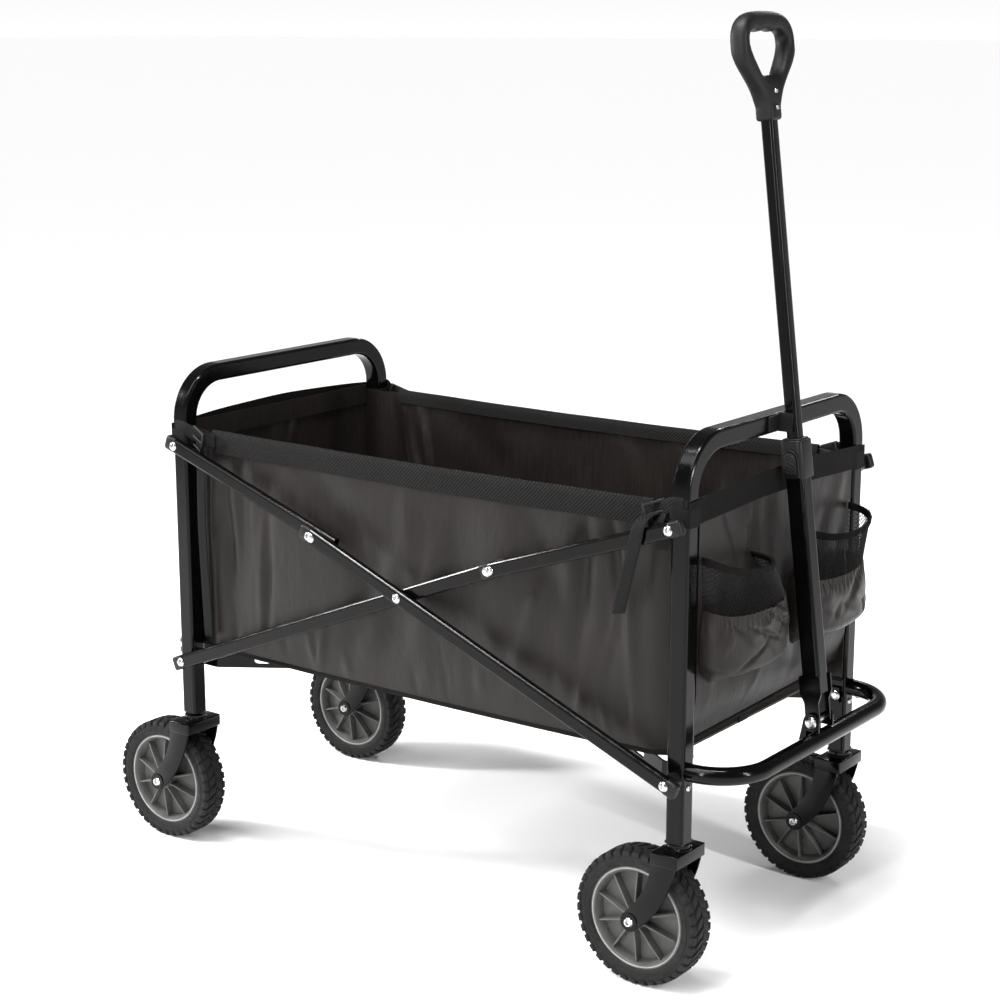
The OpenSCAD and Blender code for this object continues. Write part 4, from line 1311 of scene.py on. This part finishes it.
def make_stage(colours):
    """Floor, soft lights and the camera."""
    bpy.ops.object.select_all(action="DESELECT")
    bpy.ops.mesh.primitive_plane_add(size=300, location=(0, 0, 0))
    floor = bpy.context.object
    floor.name = "studio_floor"
    floor.data.materials.append(material("studio_floor"))

    world = bpy.data.worlds.new("studio_air")
    bpy.context.scene.world = world
    world.use_nodes = True
    background = world.node_tree.nodes["Background"]
    background.inputs["Strength"].default_value = colours.air
    parts = world.node_tree.nodes.new("ShaderNodeSeparateXYZ")
    ramp = world.node_tree.nodes.new("ShaderNodeValToRGB")
    ramp.color_ramp.elements[0].position, ramp.color_ramp.elements[1].position = 0.0, 0.26
    ramp.color_ramp.elements[0].color, ramp.color_ramp.elements[1].color = (1, 1, 1, 1), (0.2, 0.2, 0.2, 1)
    sky = world.node_tree.nodes.new("ShaderNodeTexCoord")
    world.node_tree.links.new(sky.outputs["Generated"], parts.inputs[0])
    world.node_tree.links.new(parts.outputs["Z"], ramp.inputs["Fac"])
    world.node_tree.links.new(ramp.outputs["Color"], background.inputs["Color"])
    middle = Vector((MIDDLE_X, 0, 0.45))
    for name, place, size, energy in (
            ("overhead_box", (0.1, -0.5, 2.7), (1.6, 0.12), 72),
            ("left_box", (-2.6, -1.3, 1.6), (0.35, 0.9), 115),
            ("near_strip", (0.45, -3.1, 1.7), (0.10, 1.9), 58),
            ("front_strip", (2.9, -0.35, 1.5), (0.10, 1.8), 58),
            ("back_box", (-0.4, 2.7, 2.2), (1.6, 0.2), 24)):
        light = bpy.data.lights.new(name, "AREA")
        light.shape = "RECTANGLE"
        light.size, light.size_y = size
        light.energy = energy
        lamp = bpy.data.objects.new(name, light)
        bpy.context.scene.collection.objects.link(lamp)
        lamp.location = place
        lamp.rotation_euler = (middle - lamp.location).to_track_quat("-Z", "Y").to_euler()
    light = bpy.data.lights.new("broad_light", "SUN")
    light.energy, light.angle = colours.broad, math.radians(40)
    lamp = bpy.data.objects.new("broad_light", light)
    bpy.context.scene.collection.objects.link(lamp)
    lamp.rotation_euler = (math.radians(28), math.radians(-14), 0)

    lens = bpy.data.cameras.new("wagon_camera")
    lens.lens, lens.sensor_width = 75.16, 36
    camera = bpy.data.objects.new("wagon_camera", lens)
    bpy.context.scene.collection.objects.link(camera)
    camera.location = (MIDDLE_X + 1.67968, -2.27708, 1.17811)
    view = Vector((-0.58228, 0.78207, -0.22206))
    camera.rotation_euler = view.to_track_quat("-Z", "Y").to_euler()
    bpy.context.scene.camera = camera
    bpy.context.scene.view_settings.view_transform = "Standard"


# ------------------------------------------------------------------ add-on


def size_property(label, about, value, low, high):
    """A length in metres that a user can change."""
    return bpy.props.FloatProperty(name=label, description=about, default=value, min=low, max=high,
                                   subtype="DISTANCE", unit="LENGTH", precision=4)


def colour_property(label, about, value):
    """A colour that a user can change."""
    return bpy.props.FloatVectorProperty(name=label, description=about, default=value, min=0, max=1,
                                         size=3, subtype="COLOR")


class WagonSizes(bpy.types.PropertyGroup):
    """Sizes that a user would change."""

    tyre_width: size_property("Tyre width", "Width of a tyre", 0.042, 0.03, 0.05)
    rim_radius: size_property("Rim radius", "Radius where tyre and wheel centre meet", 0.067, 0.05, 0.075)
    tread_depth: size_property("Tread depth", "Depth of the tread blocks", 0.0022, 0.001, 0.005)
    tread_blocks: bpy.props.IntProperty(name="Tread blocks", description="Blocks round a tyre", default=38)
    wheel_ribs: bpy.props.IntProperty(name="Wheel ribs", description="Ribs in a wheel centre", default=10)
    belly: size_property("Wall belly", "How far the side walls belly out", 0.0055, 0, 0.01)
    webbing_height: size_property("Webbing height", "Height of the rim webbing", 0.030, 0.02, 0.04)
    strap_width: size_property("Strap width", "Width of the corner straps", 0.020, 0.01, 0.03)
    net_cells: bpy.props.IntProperty(name="Net cells", description="Cells round a pocket's net", default=38)
    net_thread: size_property("Net thread", "Thickness of the net's threads", 0.0012, 0.0005, 0.002)
    grip_width: size_property("Grip width", "Width of the pull handle's grip", 0.126, 0.1, 0.13)
    grip_thickness: size_property("Grip thickness", "Thickness of the grip", 0.024, 0.02, 0.03)


class WagonColours(bpy.types.PropertyGroup):
    """Colours that a user would change."""

    tube: colour_property("Frame", "Powder coat", (0.0012, 0.0012, 0.0013))
    zinc: colour_property("Rivets", "Plated rivets and screws", (0.42, 0.42, 0.42))
    plastic: colour_property("Plastic", "Caps, buckles and lock", (0.0026, 0.0026, 0.0028))
    grip: colour_property("Grip", "Soft grip", (0.0024, 0.0024, 0.0025))
    rubber: colour_property("Tyres", "Tread rubber", (0.0045, 0.0045, 0.0047))
    wheel: colour_property("Wheel centres", "Moulded wheel plastic", (0.068, 0.068, 0.066))
    rim_line: colour_property("Rim lines", "Pale ring round each wheel centre", (0.22, 0.22, 0.215))
    cloth: colour_property("Cloth", "Basket and pocket cloth", (0.0072, 0.0056, 0.0050))
    webbing: colour_property("Webbing", "Rim webbing and straps", (0.0048, 0.0048, 0.0048))
    floor: colour_property("Floor", "Studio floor", (0.94, 0.94, 0.94))
    air: bpy.props.FloatProperty(name="Air light", description="Strength of the light all round", default=1.0)
    broad: bpy.props.FloatProperty(name="Broad light", description="Strength of the wide light above",
                                   default=3.15)


class WAGON_OT_frame_finish(bpy.types.Operator):
    """Paint the frame's own parts"""

    bl_idname = "wagon.frame_finish"
    bl_label = "Frame Finish"
    bl_options = {"REGISTER", "UNDO"}

    def execute(self, context):
        paint_frame_parts()
        return {"FINISHED"}


class WAGON_OT_wheels(bpy.types.Operator):
    """Add the treaded tyres and ribbed wheel centres"""

    bl_idname = "wagon.wheels"
    bl_label = "Wheels"
    bl_options = {"REGISTER", "UNDO"}

    def execute(self, context):
        make_wheels(context.scene.wagon_sizes)
        return {"FINISHED"}


class WAGON_OT_forks(bpy.types.Operator):
    """Add the four pressed forks"""

    bl_idname = "wagon.forks"
    bl_label = "Forks"
    bl_options = {"REGISTER", "UNDO"}

    def execute(self, context):
        make_forks()
        return {"FINISHED"}


class WAGON_OT_fittings(bpy.types.Operator):
    """Add rivet faces, bar caps and screws"""

    bl_idname = "wagon.fittings"
    bl_label = "Fittings"
    bl_options = {"REGISTER", "UNDO"}

    def execute(self, context):
        make_rivet_faces()
        make_bar_caps()
        make_small_fittings()
        make_bumper()
        return {"FINISHED"}


class WAGON_OT_basket(bpy.types.Operator):
    """Add the basket's walls, end panels and floor"""

    bl_idname = "wagon.basket"
    bl_label = "Basket"
    bl_options = {"REGISTER", "UNDO"}

    def execute(self, context):
        make_walls(context.scene.wagon_sizes)
        make_end_panels()
        make_floor()
        return {"FINISHED"}


class WAGON_OT_rims(bpy.types.Operator):
    """Add the rim webbing, end bands, piping and corner straps"""

    bl_idname = "wagon.rims"
    bl_label = "Rims and Straps"
    bl_options = {"REGISTER", "UNDO"}

    def execute(self, context):
        make_side_rims(context.scene.wagon_sizes)
        make_end_bands(context.scene.wagon_sizes)
        make_straps(context.scene.wagon_sizes)
        return {"FINISHED"}


class WAGON_OT_pockets(bpy.types.Operator):
    """Add the two net-topped pockets"""

    bl_idname = "wagon.pockets"
    bl_label = "Pockets"
    bl_options = {"REGISTER", "UNDO"}

    def execute(self, context):
        make_pockets(context.scene.wagon_sizes)
        return {"FINISHED"}


class WAGON_OT_handle(bpy.types.Operator):
    """Add the grip, the lock housing and its button"""

    bl_idname = "wagon.handle"
    bl_label = "Handle"
    bl_options = {"REGISTER", "UNDO"}

    def execute(self, context):
        make_grip(context.scene.wagon_sizes)
        make_upper_tube()
        make_lock()
        return {"FINISHED"}


class WAGON_OT_stage(bpy.types.Operator):
    """Add the floor, the lights and the camera"""

    bl_idname = "wagon.stage"
    bl_label = "Stage"

    def execute(self, context):
        make_stage(context.scene.wagon_colours)
        return {"FINISHED"}


STEPS = (WAGON_OT_stage, WAGON_OT_frame_finish, WAGON_OT_wheels, WAGON_OT_forks, WAGON_OT_fittings,
         WAGON_OT_basket, WAGON_OT_rims, WAGON_OT_pockets, WAGON_OT_handle)


class WAGON_PT_panel(bpy.types.Panel):
    """Lists the wagon's pieces"""

    bl_label = "Camp Wagon"
    bl_idname = "WAGON_PT_panel"
    bl_space_type = "VIEW_3D"
    bl_region_type = "UI"
    bl_category = "Camp Wagon"

    def draw(self, context):
        layout = self.layout
        for group in (context.scene.wagon_sizes, context.scene.wagon_colours):
            for key in group.__annotations__:
                layout.prop(group, key)
        for step in STEPS:
            layout.operator(step.bl_idname)


CLASSES = (WagonSizes, WagonColours, *STEPS, WAGON_PT_panel)


def register():
    for kind in CLASSES:
        bpy.utils.register_class(kind)
    bpy.types.Scene.wagon_sizes = bpy.props.PointerProperty(type=WagonSizes)
    bpy.types.Scene.wagon_colours = bpy.props.PointerProperty(type=WagonColours)


def unregister():
    del bpy.types.Scene.wagon_colours
    del bpy.types.Scene.wagon_sizes
    for kind in reversed(CLASSES):
        bpy.utils.unregister_class(kind)


def main():
    """Registers the add-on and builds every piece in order."""
    register()
    for step in STEPS:
        getattr(bpy.ops.wagon, step.bl_idname.split(".")[1])()


if __name__ == "__main__":
    main()
